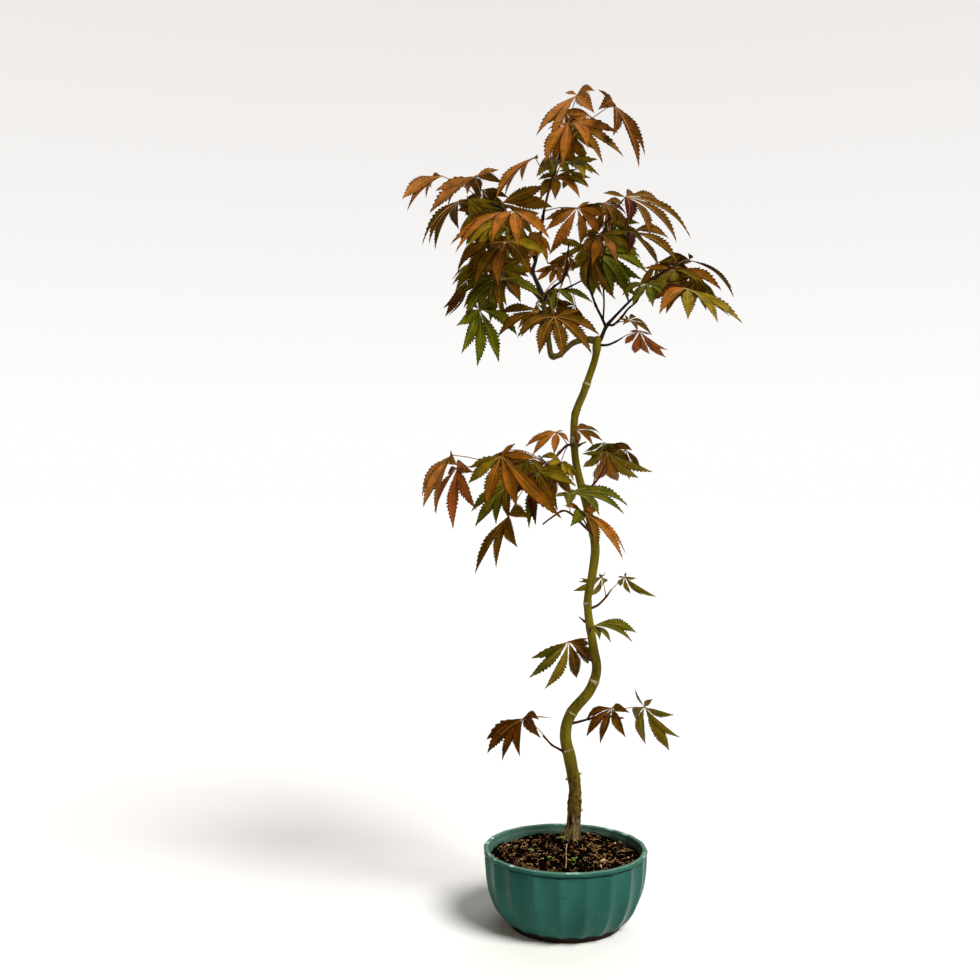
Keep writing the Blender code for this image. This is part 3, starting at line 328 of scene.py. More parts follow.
MASSES = {
    "top_foliage": Mass(
        "leader",
        (((-22.2, 703, 2), (-21, 711, 2), (-16, 732, 0), (-9, 754, -2), (-3, 774, -4), (6, 800, -4),
          (10, 803, -4)),
         ((-16, 732, 0), (-10, 742, 18), (2, 750, 36))),
        (Leaf("copper", (12, 827), -10, (-41, -41), (8, -38), (18, 4), (0,), {-3: (-12, 2), 3: (12, 7)}),
         Leaf("russet", (48, 818), -5, (-15, -6), (26, -64), (24, -21), (2, 3), {-1: (0, -32)}),
         Leaf("amber", (3, 799), -30, (-23, -40), (20, -26), (56, -34), (),
              {-3: (-20, -6), 1: (35, -41), 3: (51, -10)}, {1: "bronze", 2: "bronze"}),
         Leaf("olive", (-3, 759), -20, (-26, -14), (23, -17), (38, -13), (),
              {-1: (-8, -10), 1: (31, -11), 3: (36, 4)}),
         Leaf("umber", (-11, 745), -35, (-16, -3), (1, -23), (35, -11), (), {-1: (-14, -23)},
              {1: "sienna", 2: "olive"}),
         Leaf("amber", (-30, 765), 5, (-26, -28), (-37, -40), (-13, -24), (-3, -2)),
         Leaf("amber", (12, 714), -40, (-32, -23), (3, -38), (27, -8), (), {-3: (-33, -12), -1: (-28, -47)}),
         Leaf("sienna", (4, 786), 12, (-20, -14), (-4, -30), (14, -24)),
         Leaf("bronze", (2, 752), 15, (-12, -12), (8, -18), (24, -8))),
        2,
    ),
    "far_left_foliage": Mass(
        "leader",
        (((-29.5, 661, -3), (-38, 684, 4), (-50, 702, 10), (-64, 714, 14), (-82, 721, 16), (-92, 728, 16)),
         ((-64, 714, 14), (-72, 716, 36), (-84, 720, 56))),
        (Leaf("copper", (-90, 745), 5, (-46, -37), (-8, -18), (28, -7), (),
              {-3: (-40, -14), -1: (-27, -29), 1: (4, -23), 3: (24, 7)}, {1: "umber", 2: "bronze"}),
         Leaf("copper", (-123, 746), 15, (-28, -5), (-35, -35), (-11, -12), (-3, -2, 3), {1: (-16, -22)}),
         Leaf("umber", (-105, 722), 22, (-38, -45), (-25, -50), (9, -18), (-3,),
              {-1: (-31, -44), 1: (-1, -30), 3: (18, -13)}),
         Leaf("olive", (-96, 722), 20, (2, -18), (16, -14), (26, -2))),
        1,
    ),
    "left_foliage": Mass(
        "leader",
        (((-32, 650, -5), (-40, 662, -14), (-52, 684, -24), (-57, 706, -32)),),
        (Leaf("amber", (-51, 711), -60, (-64, -34), (-22, -31), (36, -28), (-3, 3), {1: (4, -36)}),
         Leaf("bronze", (-63, 719), -15, (38, -10), (41, 5), (31, 20)),
         Leaf("olive", (-65, 700), -28, (-28, -10), (-33, -26), (-8, -26)),
         Leaf("umber", (-59, 680), -45, (-49, -27), (-8, -44), (42, -14), (),
              {-3: (-34, -3), -1: (-32, -46)}, {-1: "bronze", 0: "sienna", 2: "olive"}),
         Leaf("olive", (-52, 706), -8, (-30, -22), (-4, -30), (20, -20)),
         Leaf("sienna", (-30, 690), 22, (-12, -20), (2, -28), (16, -22)),
         Leaf("umber", (-80, 678), 0, (-24, -14), (-18, -34), (2, -30))),
        1,
    ),
    "lower_left_foliage": Mass(
        "left_bough_upper",
        (((-21.5, 618, -8), (-32, 630, -12), (-48, 641, -18), (-64, 642, -22), (-80, 633, -24)),
         ((-48, 641, -18), (-60, 646, 6), (-74, 650, 30))),
        (Leaf("moss", (-62, 643), -35, (-42, -15), (-3, -30), (41, -20), (), {-1: (-38, -43), 1: (18, -24)},
              {0: "umber", 1: "umber"}),
         Leaf("green", (-86, 613), -50, (-23, -17), (-2, -58), (38, -27), (), {1: (20, -54)}),
         Leaf("russet", (-98, 642), -10, (-16, -10), (-22, -37), (-9, -20), (-3, -2)),
         Leaf("olive", (-83, 656), 12, (-18, -4), (-30, -19), (-14, -22)),
         Leaf("umber", (-27, 611), -40, (-40, -3), (-20, -18), (-8, -22), (3,), {-1: (-41, -27)}),
         Leaf("moss", (-72, 642), -2, (-30, -14), (-14, -32), (14, -26))),
        1,
    ),
    "centre_foliage": Mass(
        "left_bough_upper",
        (((-21.6, 620, -8), (-17.5, 628, -13), (-11, 635.5, -14), (-2.5, 642, -14), (0.7, 652.5, -13),
          (2.3, 665, -12), (4, 679, -10)),
         ((-17.5, 628, -13), (-8, 630.5, -22), (4, 635, -26), (16, 641, -28)),
         ((-2.5, 642, -14), (2, 650, 8), (6, 660, 30))),
        (Leaf("umber", (-11, 605), -65, (-37, -21), (8, -42), (46, -19), (), {-1: (-15, -38), 3: (26, 7)}),
         Leaf("moss", (-8, 633), -24, (-4, -26), (18, -17), (36, -14), (-1, 1)),
         Leaf("sienna", (-9, 658), 5, (-22, -8), (-6, -20), (14, -14)),
         Leaf("olive", (19, 675), 20, (-30, 6), (-24, -10), (-8, -18), (-3, -1, 1, 3)),
         Leaf("umber", (2, 668), 8, (-20, -10), (-14, -22), (6, -18))),
        1,
    ),
    "inner_right_foliage": Mass(
        "right_bough",
        (((41, 595, 2), (36, 606, 0), (31, 616, -2), (27, 627, -4), (23, 638, -5), (24, 656, -4),
          (27, 668, -2)),
         ((38, 602, 1), (39, 617, 4), (38.4, 636, 6), (37, 665, 2), (38, 686, -6), (44, 704, -14),
          (58, 722, -24)),
         ((37, 665, 2), (44, 684, 26), (52, 700, 50))),
        (Leaf("bronze", (27, 667), 4, (-10, -23), (7, -33), (24, -45), (), {1: (11, -42)}),
         Leaf("green", (30, 670), 22, (18, -46), (37, -35), (46, -6)),
         Leaf("umber", (36, 688), -15, (-21, -6), (-9, -32), (36, -23), (),
              {-3: (-19, 3), 1: (16, -29), 3: (29, 2)},
              {-3: "olive", 0: "sienna", 1: "copper", 2: "olive", 3: "olive"}),
         Leaf("umber", (39, 719), -20, (-3, -17), (25, -27), (20, -3), (),
              {-3: (-15, 0), 1: (23, -13), 3: (11, 8)}, {1: "wine"}),
         Leaf("umber", (61, 725), -45, (2, -28), (51, -46), (37, -12), (),
              {-3: (-23, 4), -1: (24, -40), 1: (65, -42)}, {-2: "wine"}),
         Leaf("umber", (66, 690), -5, (-2, -21), (28, -35), (38, -7), (-3, -1, 3), {1: (48, -34)},
              {-2: "wine"}),
         Leaf("olive", (46, 700), 34, (-10, -6), (14, -9), (16, -2)),
         Leaf("green", (34, 672), 42, (-18, -30), (12, -46), (44, -30))),
        2,
    ),
    "outer_right_foliage": Mass(
        "right_bough",
        (((73, 629, 8), (84, 638, 9), (97, 649, 8), (110, 656, 8), (119, 660, 14)),
         ((97, 649, 8), (104, 656, 30), (110, 664, 52))),
        (Leaf("olive", (109, 652), 8, (-24, -20), (4, -26), (48, -21), (), {-3: (-30, 2), 1: (33, -24)},
              {-3: "sienna", 2: "sienna"}),
         Leaf("umber", (124, 662), 26, (-12, -7), (45, -38), (24, -8), (-1, 2)),
         Leaf("olive", (123, 633), -30, (-31, -10), (0, -31), (55, -35), (),
              {-1: (-29, -26), 1: (30, -34), 3: (42, -27)}, {-2: "wine", -1: "sienna"})),
        1,
    ),
    "lower_right_spray": Mass(
        "right_bough",
        (((43, 598, 2), (48, 597, -4), (56, 604, -6), (63, 613, -7), (71, 620, -8), (77, 630, -8)),),
        (Leaf("bronze", (63, 601), -18, (-5, -4), (24, -14), (8, 4)),
         Leaf("moss", (82, 638), -2, (-25, -12), (6, -23), (24, -5))),
    ),
    "red_spray": Mass(
        "trunk",
        (((33, 577, 0), (42, 577, -3), (50, 580, -4), (57, 584, -4)),),
        (Leaf("rust", (75, 591), 2, (-15, -13), (10, -23), (28, -19)),),
    ),
    "middle_left_foliage": Mass(
        "trunk",
        (((10, 475, 3), (3, 477, -4), (-5, 470, -12), (-17, 456, -20), (-29, 450, -26), (-44, 446, -30),
          (-62, 452, -34), (-86, 457, -38)),
         ((-17, 456, -20), (-20, 460, 4), (-26, 466, 28))),
        (Leaf("copper", (-113, 467), -44, (-30, -42), (-17, -59), (6, -11), (-3, 1, 3), {-1: (-29, -53)}),
         Leaf("rust", (-108, 454), -58, (-21, -46), (-4, -62), (17, -5), (-1, 3), {1: (20, -43)}),
         Leaf("sienna", (-64, 466), -70, (-33, -28), (16, -52), (37, -3), (),
              {-3: (-32, -12), 1: (62, -64)}, {-3: "olive", -2: "olive"}),
         Leaf("amber", (-9, 490), -20, (-31, -15), (-2, -23), (13, -10), (1,)),
         Leaf("olive", (-4, 460), -12, (-22, 4), (2, -18), (16, -12)),
         Leaf("olive", (-27, 449), -36, (-22, -22), (-2, -53), (39, -14), (), {-1: (-9, -56), 1: (20, -38)},
              {-2: "wine", -1: "green", 0: "wine", 1: "bronze"}),
         Leaf("moss", (-58, 437), -40, (-36, -27), (-11, -40), (12, -18), (2, 3), {-3: (-52, -31)},
              {1: "umber"}),
         Leaf("bronze", (-56, 407), -26, (-37, -41), (-13, -53), (22, -4), (-3, -2, 3), {}, {-1: "umber"}),
         Leaf("olive", (-36, 462), -5, (-20, -20), (0, -32), (20, -22))),
        2,
    ),
    "middle_right_leaf": Mass(
        "trunk",
        (((22, 431, 5), (28, 437, 6), (35, 446, 8), (40, 456, 9)),),
        (Leaf("olive", (42, 470), 10, (-24, -15), (11, -29), (46, -20), (), {-3: (-25, -2), 1: (32, -26)},
              {-1: "sienna", 0: "sienna"}),),
        1,
    ),
    "middle_front_foliage": Mass(
        "trunk",
        (((29, 387, 6), (20, 395, -4), (14, 401, -9), (5, 409, -14), (-3, 411, -18), (-14, 404, -18),
          (-22, 398, -18)),),
        (Leaf("moss", (5, 427), -30, (-2, -14), (55, -20), (38, -1)),
         Leaf("amber", (17, 411), -38, (-12, -16), (41, -49), (28, -21), (2,), {3: (15, 2)},
              {-2: "green", -1: "bronze"})),
    ),
    "trunk_leaf": Mass(
        "trunk",
        (((10.5, 480, 3), (12, 482, -4), (10, 487, -8)),),
        (Leaf("umber", (11, 492), -16, (3, -14), (27, -11), (12, 4)),),
    ),
    "upper_right_shoot": Mass(
        "trunk",
        (((24, 313, 14), (33, 317, 14), (41, 325, 16), (46, 332, 18)),),
        (Leaf("olive", (37, 345), 34, (-22, -1), (-29, -14), (0, -7), (),
              {-1: (-24, -5), 1: (-19, -20), 3: (3, 5)}),
         Leaf("olive", (60, 345), 20, (-5, -9), (17, -18), (12, -1), (), {1: (32, -20)})),
    ),
    "right_leaf": Mass(
        "trunk",
        (((24, 289, 15), (25, 292, 6), (26, 294, 3)),),
        (Leaf("moss", (27, 296), -2, (8, -14), (41, -17), (30, 3), (-3, 2, 3), {-1: (19, -17)}),),
    ),
    "left_shoot": Mass(
        "trunk",
        (((29, 260, 20), (22, 264, 12), (12, 270, 8)),),
        (Leaf("umber", (3.5, 280.5), 2, (-40, -37), (8, -37), (20, -3), (), {-3: (-38, -17), 3: (20, 3)},
              {-3: "moss", -2: "moss", -1: "olive"}),),
    ),
    "lower_left_shoot": Mass(
        "trunk",
        (((2, 168, 28), (-6, 173, 20), (-13, 177, 14), (-22, 186, 8)),),
        (Leaf("russet", (-41, 204), -4, (-37, -36), (-4, -39), (15, -2), (),
              {-3: (-38, -22), -1: (-22, -43), 1: (17, -21), 3: (27, 0)}),),
    ),
    "lower_right_shoot": Mass(
        "trunk",
        (((4, 198, 26), (13, 200, 22), (24, 203, 16), (36, 206, 10), (58, 204, 8)),),
        (Leaf("russet", (47, 214), -4, (-26, -12), (-12, -36), (18, -5), (),
              {-3: (-25, -1), 1: (14, -30), 3: (-7, 8)}, {1: "bronze", 2: "bronze"}),
         Leaf("olive", (79.5, 215), 14, (-9, -12), (25, -44), (30, -8), (), {-3: (-10, 19), -1: (2, -38)})),
    ),
}


class Shell:
    """Points in millimetres and faces, gathered for one mesh."""

    def __init__(self, *shapes):
        self.points = []
        self.faces = []
        self.looks = []
        for points, faces in shapes:
            self.add(points, faces)

    def add(self, points, faces, looks=()):
        """Adds points and faces, with the number of each face's material where it isn't the first."""
        base = len(self.points)
        self.points += points
        self.faces += [tuple(base + corner for corner in face) for face in faces]
        self.looks += looks or [0] * len(faces)


def linked(name, data):
    made = bpy.data.objects.new(name, data)
    bpy.context.scene.collection.objects.link(made)
    return made


def shaped(name, shell, look):
    """An object in metres with the shell's points and faces."""
    mesh = bpy.data.meshes.new(name)
    mesh.from_pydata([point * MM for point in shell.points], [], shell.faces)
    mesh.materials.append(look)
    return linked(name, mesh)


def piece(name, shell, look, replaced=(), smooth=True, second=None):
    """A mesh that rides on the plant and takes the given look."""
    made = shaped(name, shell, look)
    if second:
        made.data.materials.append(second)
        made.data.polygons.foreach_set("material_index", shell.looks)
    if smooth:
        made.data.shade_smooth()
    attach(made, BODY)
    if replaced:
        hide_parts(*replaced)


# Places and tubes


def scale_at(depth):
    return 1.0 - depth / EYE.y


def seen(x, z, depth):
    """The place that shows at (x, z) in the plane of the pot's axis and lies this far behind it."""
    plane = Vector((x, 0.0, z))
    return EYE + (plane - EYE) * scale_at(depth)


def clamped(value):
    return max(0.0, min(1.0, value))


def around(turn, radius=1.0, z=0.0):
    """The place at this turn, in radians from +X."""
    return Vector((radius * math.cos(turn), radius * math.sin(turn), z))


def route(points):
    """A limb's centre line: vectors of x, y, z and radius from places seen from the front."""
    line = []
    for x, z, depth, radius in points:
        place = seen(x, z, depth)
        line.append(Vector((place.x, place.y, place.z, radius * scale_at(depth))))
    return line


def smooth(line, steps):
    """A curve through the line's points, as closely spaced points of the same kind."""
    ends = [2 * line[0] - line[1]] + list(line) + [2 * line[-1] - line[-2]]
    curve = []
    for before, start, end, after in zip(ends, ends[1:], ends[2:], ends[3:]):
        for step in range(steps):
            t = step / steps
            pull = (end - before) * t + (2 * before - 5 * start + 4 * end - after) * t ** 2
            pull += (3 * start - before - 3 * end + after) * t ** 3
            curve.append(start + pull * 0.5)
    curve.append(line[-1].copy())
    return curve


def rings(line, sides):
    """One ring of points round each point of the line, none twisted against the last."""
    made = []
    across = None
    for index, point in enumerate(line):
        ahead = (line[min(index + 1, len(line) - 1)] - line[max(index - 1, 0)]).xyz.normalized()
        if across is None:
            across = ahead.orthogonal()
        across = (across - ahead * across.dot(ahead)).normalized()
        other = ahead.cross(across)
        turns = [2 * math.pi * side / sides for side in range(sides)]
        made.append([point.xyz + (across * math.cos(a) + other * math.sin(a)) * point.w for a in turns])
    return made


def skin(loops):
    """Faces over rings of equal count, closed at both ends."""
    sides = len(loops[0])
    faces = []
    for row in range(len(loops) - 1):
        for side in range(sides):
            a = row * sides + side
            b = row * sides + (side + 1) % sides
            faces.append((a, b, b + sides, a + sides))
    last = (len(loops) - 1) * sides
    faces.append(tuple(reversed(range(sides))))
    faces.append(tuple(range(last, last + sides)))
    return [point for loop in loops for point in loop], faces


def tube(line, sides):
    return skin(rings(line, sides))


def drawn_out(place, ahead, shape, size=1.0):
    """Points of a line that leaves a place in this direction: (how far, radius) of each, over the size."""
    return [Vector((*(place + ahead * (size * out)), size * width)) for out, width in shape]


# The growth rule, the same as in the part's source


def tree_of(points, faces):
    return BVHTree.FromPolygons(points, faces)


def solid_surface(name):
    """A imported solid's surface, in millimetres."""
    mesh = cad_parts[name].data
    points = [vert.co / MM for vert in mesh.vertices]
    return tree_of(points, [tuple(face.vertices) for face in mesh.polygons])


def stands_clear(tree, point):
    near, normal, _, distance = tree.find_nearest(point)
    return distance >= CLEAR and (point - near).dot(normal) > 0


def seated(line, tree):
    """The line without the start that lies in its carrier, cut where its end is clear of the bark."""
    line = list(line)
    while len(line) > 2:
        start = [Vector((*point.xyz, point.w + CLEAR)) for point in line[:SEAT_RINGS]]
        points, faces = tube(start, TWIG_SIDES)
        if all(stands_clear(tree, point) for point in points) and not tree.overlap(tree_of(points, faces)):
            return line
        span = (line[1] - line[0]).xyz.length
        if span <= SEAT_STEP:
            line.pop(0)
        else:
            line[0] = line[0].lerp(line[1], SEAT_STEP / span)
    raise ValueError("a stem never leaves its carrier")


def trunk_depth(z):
    """How far behind the pot's axis the trunk is at this height."""
    low, high = TRUNK[0][1], TRUNK[-1][1]
    return TRUNK_DEPTH * (1 - (z - low) / (high - low)) ** TRUNK_LEAN


def trunk_line():
    return route([(x, z, trunk_depth(z), radius) for x, z, radius in TRUNK])


def attitude(leaf, depth):
    """The middle lobe and the two side vectors, each as (x, z, depth) offsets seen from the front."""
    middle = Vector(leaf.middle)
    turn = 2 * LOBE_STEP
    left, right = [
        (Vector(tip) / LOBE_LENGTHS[2] - middle * math.cos(turn)) / math.sin(turn)
        for tip in (leaf.left, leaf.right)
    ]
    span = (left - right) / 2
    slant = middle.dot(span)
    excess = middle.length_squared - span.length_squared
    lean_square = (math.sqrt(excess ** 2 + 4 * slant ** 2) - excess) / 2
    lean = math.sqrt(max(lean_square, 0.0))
    swing = math.sqrt(max(lean_square + excess, 0.0))
    if depth < 0:
        lean = -lean
    if slant * lean > 0:
        swing = -swing
    return Vector((*middle, lean)), Vector((*left, swing)), Vector((*right, -swing))


def lobes_of(leaf, depth):
    """The hub, and each lobe's run to its tip, its sideways direction and the leaf's face there."""
    middle, left, right = attitude(leaf, depth)
    hub = seen(*leaf.hub, depth)
    runs = {}
    for index in range(-3, 4):
        if index in leaf.bare:
            continue
        rank = abs(index)
        turn = BASAL_TURN if index in BASAL_LOBES else rank * LOBE_STEP
        side = left if index < 0 else right
        offset = (middle * math.cos(turn) + side * math.sin(turn)) * LOBE_LENGTHS[rank]
        x, z = leaf.tips.get(index, offset.xy)
        slope = max(-MAX_SLOPE, min(MAX_SLOPE, offset.z)) * scale_at(depth)
        runs[index] = seen(leaf.hub[0] + x, leaf.hub[1] + z, depth + slope) - hub
    order = sorted(runs)
    found = []
    face = Vector()
    for place, index in enumerate(order):
        run = runs[index]
        ahead = runs[order[min(place + 1, len(order) - 1)]] - runs[order[max(place - 1, 0)]]
        slant = LOBE_SLANT * math.hypot(ahead.x, ahead.z)
        ahead.y = max(-slant, min(slant, ahead.y))
        across = (ahead - run * (ahead.dot(run) / run.length_squared)).normalized()
        found.append((index, run, across))
        face += run.cross(across)
    flip = -1.0 if face.dot(FACING) < 0 else 1.0
    return hub, [(index, run, across, run.cross(across).normalized() * flip) for index, run, across in found]


def arch(rank, run, share, droop=0.0):
    """How high a lobe rises at this share of its length: little where it hangs straight down."""
    level = (run.x ** 2 + run.y ** 2) / run.length_squared
    most = ARCHES[rank] * (PLUMB_ARCH + (1 - PLUMB_ARCH) * level) * run.length
    return (most + droop * run.length) * 4 * share * (1 - share)


def lift(run, face):
    """The direction in which a lobe arches between its hub and its tip."""
    along = run.normalized()
    upward = Vector((0.0, 0.0, 1.0))
    upward -= along * upward.dot(along)
    return (face * FACE_RISE + upward * UP_RISE).normalized()


def blade(leaf, depth, spare=0.0):
    """A leaf's coarse blade, which keeps its space free of other masses."""
    hub, lobes = lobes_of(leaf, depth)
    face = sum((lobe[3] for lobe in lobes), Vector()).normalized()
    thick = BLADE + spare
    points = [hub + face * thick, hub - face * (UNDERSIDE * thick)]
    top, bottom = 0, 1
    count = len(lobes)
    sinuses = []
    for place, (_, run, _, _) in enumerate(lobes):
        before = lobes[place - 1][1]
        reach = SINUS * (run.length + before.length) / 2
        toward = run.normalized() + before.normalized()
        if place == 0:
            toward = -sum((lobe[1].normalized() for lobe in lobes), Vector())
            reach *= BACK_SINUS
        points.append(hub + toward.normalized() * reach)
        sinuses.append(len(points) - 1)
    faces = []
    for place, (index, run, across, normal) in enumerate(lobes):
        rise = lift(run, normal)
        room = ROOM * min(run.angle(other) for at, other, _, _ in lobes if at != index)
        edge = []
        for share, width in LOBE_SHAPE:
            half = min(width, share * math.sin(room)) * run.length
            middle = hub + run * share + rise * arch(abs(index), run, share)
            edge.append(tuple(range(len(points), len(points) + 3)))
            points += [middle - across * half, middle + across * half, middle + normal * thick]
        points.append(hub + run)
        tip = len(points) - 1
        (left_1, right_1, rib_1), (left_2, right_2, rib_2) = edge
        before, after = sinuses[place], sinuses[(place + 1) % count]
        faces += [
            (bottom, after, before), (before, after, right_1, left_1), (left_1, right_1, right_2, left_2),
            (left_2, right_2, tip), (top, before, left_1, rib_1), (top, rib_1, right_1, after),
            (rib_1, left_1, left_2, rib_2), (rib_1, rib_2, right_2, right_1), (rib_2, left_2, tip),
            (rib_2, tip, right_2),
        ]
    return hub, points, faces


def crosses_itself(points, faces):
    tree = tree_of(points, faces)
    return any(not set(faces[a]) & set(faces[b]) for a, b in tree.overlap(tree))


def unfolded(leaf):
    """The leaf without the lobes that would cut through its others."""
    for spared in SPARED:
        trial = leaf._replace(bare=tuple(sorted({*leaf.bare, *spared})))
        _, points, faces = blade(trial, leaf.depth)
        if not crosses_itself(points, faces):
            break
    return trial


def twig_line(places, first, steps):
    """A tapering twig, as thick as a mass's stem where it is the first."""
    thick = TWIG_THICK if first else TWIG_THIN * SIDE_TWIG
    last = len(places) - 1
    tapered = [(*place, thick + (TWIG_THIN - thick) * index / last) for index, place in enumerate(places)]
    return smooth(route(tapered), steps)


def twig_lines(mass, tree):
    """The mass's twigs, with the stem's end seated on its carrier."""
    stem, *others = [twig_line(places, number == 0, 1) for number, places in enumerate(mass.twigs)]
    return [seated(stem, tree), *others]


def petiole(hub, lines):
    """A leaf's stalk from the nearest twig, arching up to the hub."""

    def gap(place):
        line, index = place
        return (line[index].xyz - hub).length

    nearest = min(((line, index) for line in lines for index in range(len(line))), key=gap)
    back = gap(nearest) * PETIOLE_BACK
    line, index = nearest
    while index > 0 and back > 0:
        back -= (line[index] - line[index - 1]).xyz.length
        index -= 1
    root = line[index].xyz
    span = hub - root
    crown = (root + hub) / 2 + Vector((0.0, 0.0, 1.0)) * (span.length * PETIOLE_ARCH)
    beyond = hub + span.normalized() * PETIOLE_END
    points = []
    for t in (0.0, 0.5, 1.0):
        place = root * (1 - t) ** 2 + crown * (2 * t * (1 - t)) + beyond * t ** 2
        points.append(Vector((*place, PETIOLE_RADIUS)))
    return points


def leaf_parts(leaf, depth, lines, spare=0.0):
    hub, points, faces = blade(leaf, depth, spare)
    stalk = petiole(hub, lines)
    for point in stalk:
        point.w += spare
    return [(points, faces), tube(stalk, TWIG_SIDES)]


def touches(parts, others):
    trees = [tree_of(points, faces) for points, faces in parts]
    return any(tree.overlap(other) for tree in trees for other in others)


def placed(leaf, lines, others):
    """The leaf's first depth, nudged along the line of sight, where it touches nothing."""
    for step in range(2 * NUDGES + 1):
        shift = NUDGE * ((step + 1) // 2) * (1 if step % 2 else -1)
        depth = leaf.depth + shift
        if not touches(leaf_parts(leaf, depth, lines, CLEAR), others):
            return depth
    return None


def hidden(leaf, trees, enough):
    """Whether the leaves in front hide enough of this one from EYE."""
    hub, lobes = lobes_of(leaf, leaf.depth)
    places = [hub] + [hub + run * share for _, run, _, _ in lobes for share in SIGHT_SHARES]
    covered = sum(any(tree.ray_cast(place, EYE - place)[0] for tree in trees) for place in places)
    return covered >= enough * len(places)


def back_leaf(mass, rng, kind):
    """A leaf of this mass's kind, behind one of those that show."""
    model = rng.choice(mass.leaves)
    turn = math.radians(rng.uniform(*BACK_TURNS))
    length = rng.uniform(*kind.lengths)
    tips = []
    for swing, share in BACK_LOBES:
        angle = turn + math.radians(swing + rng.uniform(-BACK_STRAY, BACK_STRAY))
        tips.append((length * share * math.cos(angle), length * share * math.sin(angle)))
    hub = tuple(place + rng.uniform(-BACK_SPREAD, BACK_SPREAD) for place in model.hub)
    return Leaf(model.tint, hub, rng.uniform(*kind.depths), *tips, BASAL_LOBES)


def grow():
    """Every mass's twigs, and the leaves that find room in it, each with its depth."""
    rng = random.Random(SEED)
    trees = {name: solid_surface(name) for name in ("trunk", *BOUGHS)}
    twigs = {name: twig_lines(mass, trees[mass.carrier]) for name, mass in MASSES.items()}
    held = {name: [tree_of(*tube(line, TWIG_SIDES)) for line in lines] for name, lines in twigs.items()}
    kept = {name: [] for name in MASSES}

    def others(name):
        return [*trees.values()] + [tree for key, found in held.items() if key != name for tree in found]

    def keep(name, leaf, depth):
        kept[name].append((leaf, depth))
        held[name] += [tree_of(points, faces) for points, faces in leaf_parts(leaf, depth, twigs[name])]

    def fill(name, wanted, kind):
        """Adds leaves to a mass behind those that show, in tints of their own if there are any."""
        found = 0
        for _ in range(HIDDEN_TRIES):
            if found == wanted:
                break
            leaf = unfolded(back_leaf(MASSES[name], rng, kind))
            in_front = [tree for blades in held.values() for tree in blades]
            if not hidden(leaf, in_front, kind.hidden):
                continue
            if touches(leaf_parts(leaf, leaf.depth, twigs[name], CLEAR), others(name)):
                continue
            if kind.tints:
                leaf = leaf._replace(tint=rng.choice(kind.tints))
            keep(name, leaf, leaf.depth)
            found += 1

    for name, mass in MASSES.items():
        for leaf in map(unfolded, mass.leaves):
            depth = placed(leaf, twigs[name], others(name))
            if depth is not None:
                keep(name, leaf, depth)
    for name, mass in MASSES.items():
        fill(name, mass.fill, BACK_LEAVES)
    for name, mass in MASSES.items():
        if mass.fill:
            fill(name, SHADE_COUNT, SHADE_LEAVES)
    return twigs, kept


# Fine leaves


def lobe_width(share, widest):
    """Half the width of a lobe over its length."""
    peak = SWELL / (SWELL + TAIL)
    top = peak ** SWELL * (1 - peak) ** TAIL
    return widest * max(share, HUB_SHARE) ** SWELL * (1 - share) ** TAIL / top


def lobe_stations(rank):
    """(share, tooth) along a lobe, where tooth is -1 in a notch, 1 at a point and 0 on a plain edge."""
    teeth = max(LEAST_TEETH, round(TEETH * LOBE_LENGTHS[rank]))
    pitch = (TOOTH_TO - TOOTH_FROM) / teeth
    stations = [(share, 0) for share in FIRST_SHARES]
    for tooth in range(teeth):
        stations.append((TOOTH_FROM + pitch * tooth, -1))
        stations.append((TOOTH_FROM + pitch * (tooth + TOOTH_LEAN), 1))
    stations.append((LAST_SHARE, 0))
    return stations


def lobe_rows(hub, lobe, settings, rng):
    """Rows of points across a lobe that is folded up from its midrib, toothed, arched and bent aside."""
    index, run, across, normal = lobe
    length = run.length
    rise = lift(run, normal)
    bend = rng.uniform(-BEND, BEND) * length
    droop = rng.uniform(*DROOP)
    fold = settings.fold * rng.uniform(*FOLD_SPREAD)
    jut = run.normalized() * (TOOTH_JUT * length * (TOOTH_TO - TOOTH_FROM) / TEETH)
    rows = []
    for share, tooth in lobe_stations(abs(index)):
        centre = hub + run * share + rise * arch(abs(index), run, share, droop)
        centre += across * (bend * math.sin(math.pi * share))
        half = max(lobe_width(share, min(settings.lobe_width * length, WIDEST)), THREAD)
        row = []
        for part in ACROSS:
            reach = part * half
            if abs(part) == 1:
                reach *= 1 + settings.tooth_depth * tooth * rng.uniform(*TOOTH_SPREAD)
            point = centre + across * reach + normal * (abs(reach) * fold)
            if tooth > 0 and abs(part) == 1:
                point += jut
            row.append(point)
        rows.append(row)
    return rows


def fine_lobe(shell, ribs, hub, lobe, settings, rng):
    """One lobe as a thin closed blade, with its midrib."""
    index, run, across, normal = lobe
    if run.cross(across).dot(normal) < 0:
        across = -across
    rows = lobe_rows(hub, (index, run, across, normal), settings, rng)
    tip = hub + run
    count = len(ACROSS)
    base = len(rows) * count
    points = [point for row in rows for point in row]
    under = [point - normal * FINE_BLADE for point in points]
    low = base + 1
    faces, looks = [], []
    for row in range(len(rows) - 1):
        for part in range(count - 1):
            a = row * count + part
            b = a + count
            faces += [(a, b, b + 1, a + 1), (low + a, low + a + 1, low + b + 1, low + b)]
            looks += [int(part in EDGES)] * 2
        left, right = row * count, row * count + count - 1
        faces.append((left, low + left, low + left + count, left + count))
        faces.append((right, right + count, low + right + count, low + right))
        looks += [1, 1]
    last = base - count
    for part in range(count - 1):
        faces.append((last + part, base, last + part + 1))
        faces.append((low + last + part, low + last + part + 1, base))
        faces.append((part, part + 1, low + part + 1, low + part))
    faces.append((last, low + last, base))
    faces.append((base - 1, base, low + base - 1))
    shell.add(points + [tip] + under, faces, looks + [0] * (len(faces) - len(looks)))
    spine = [row[count // 2] for row in rows] + [tip]
    ribs.add(*fine_rib(spine, across, normal, settings.rib / MM * run.length / RIB_LOBE))


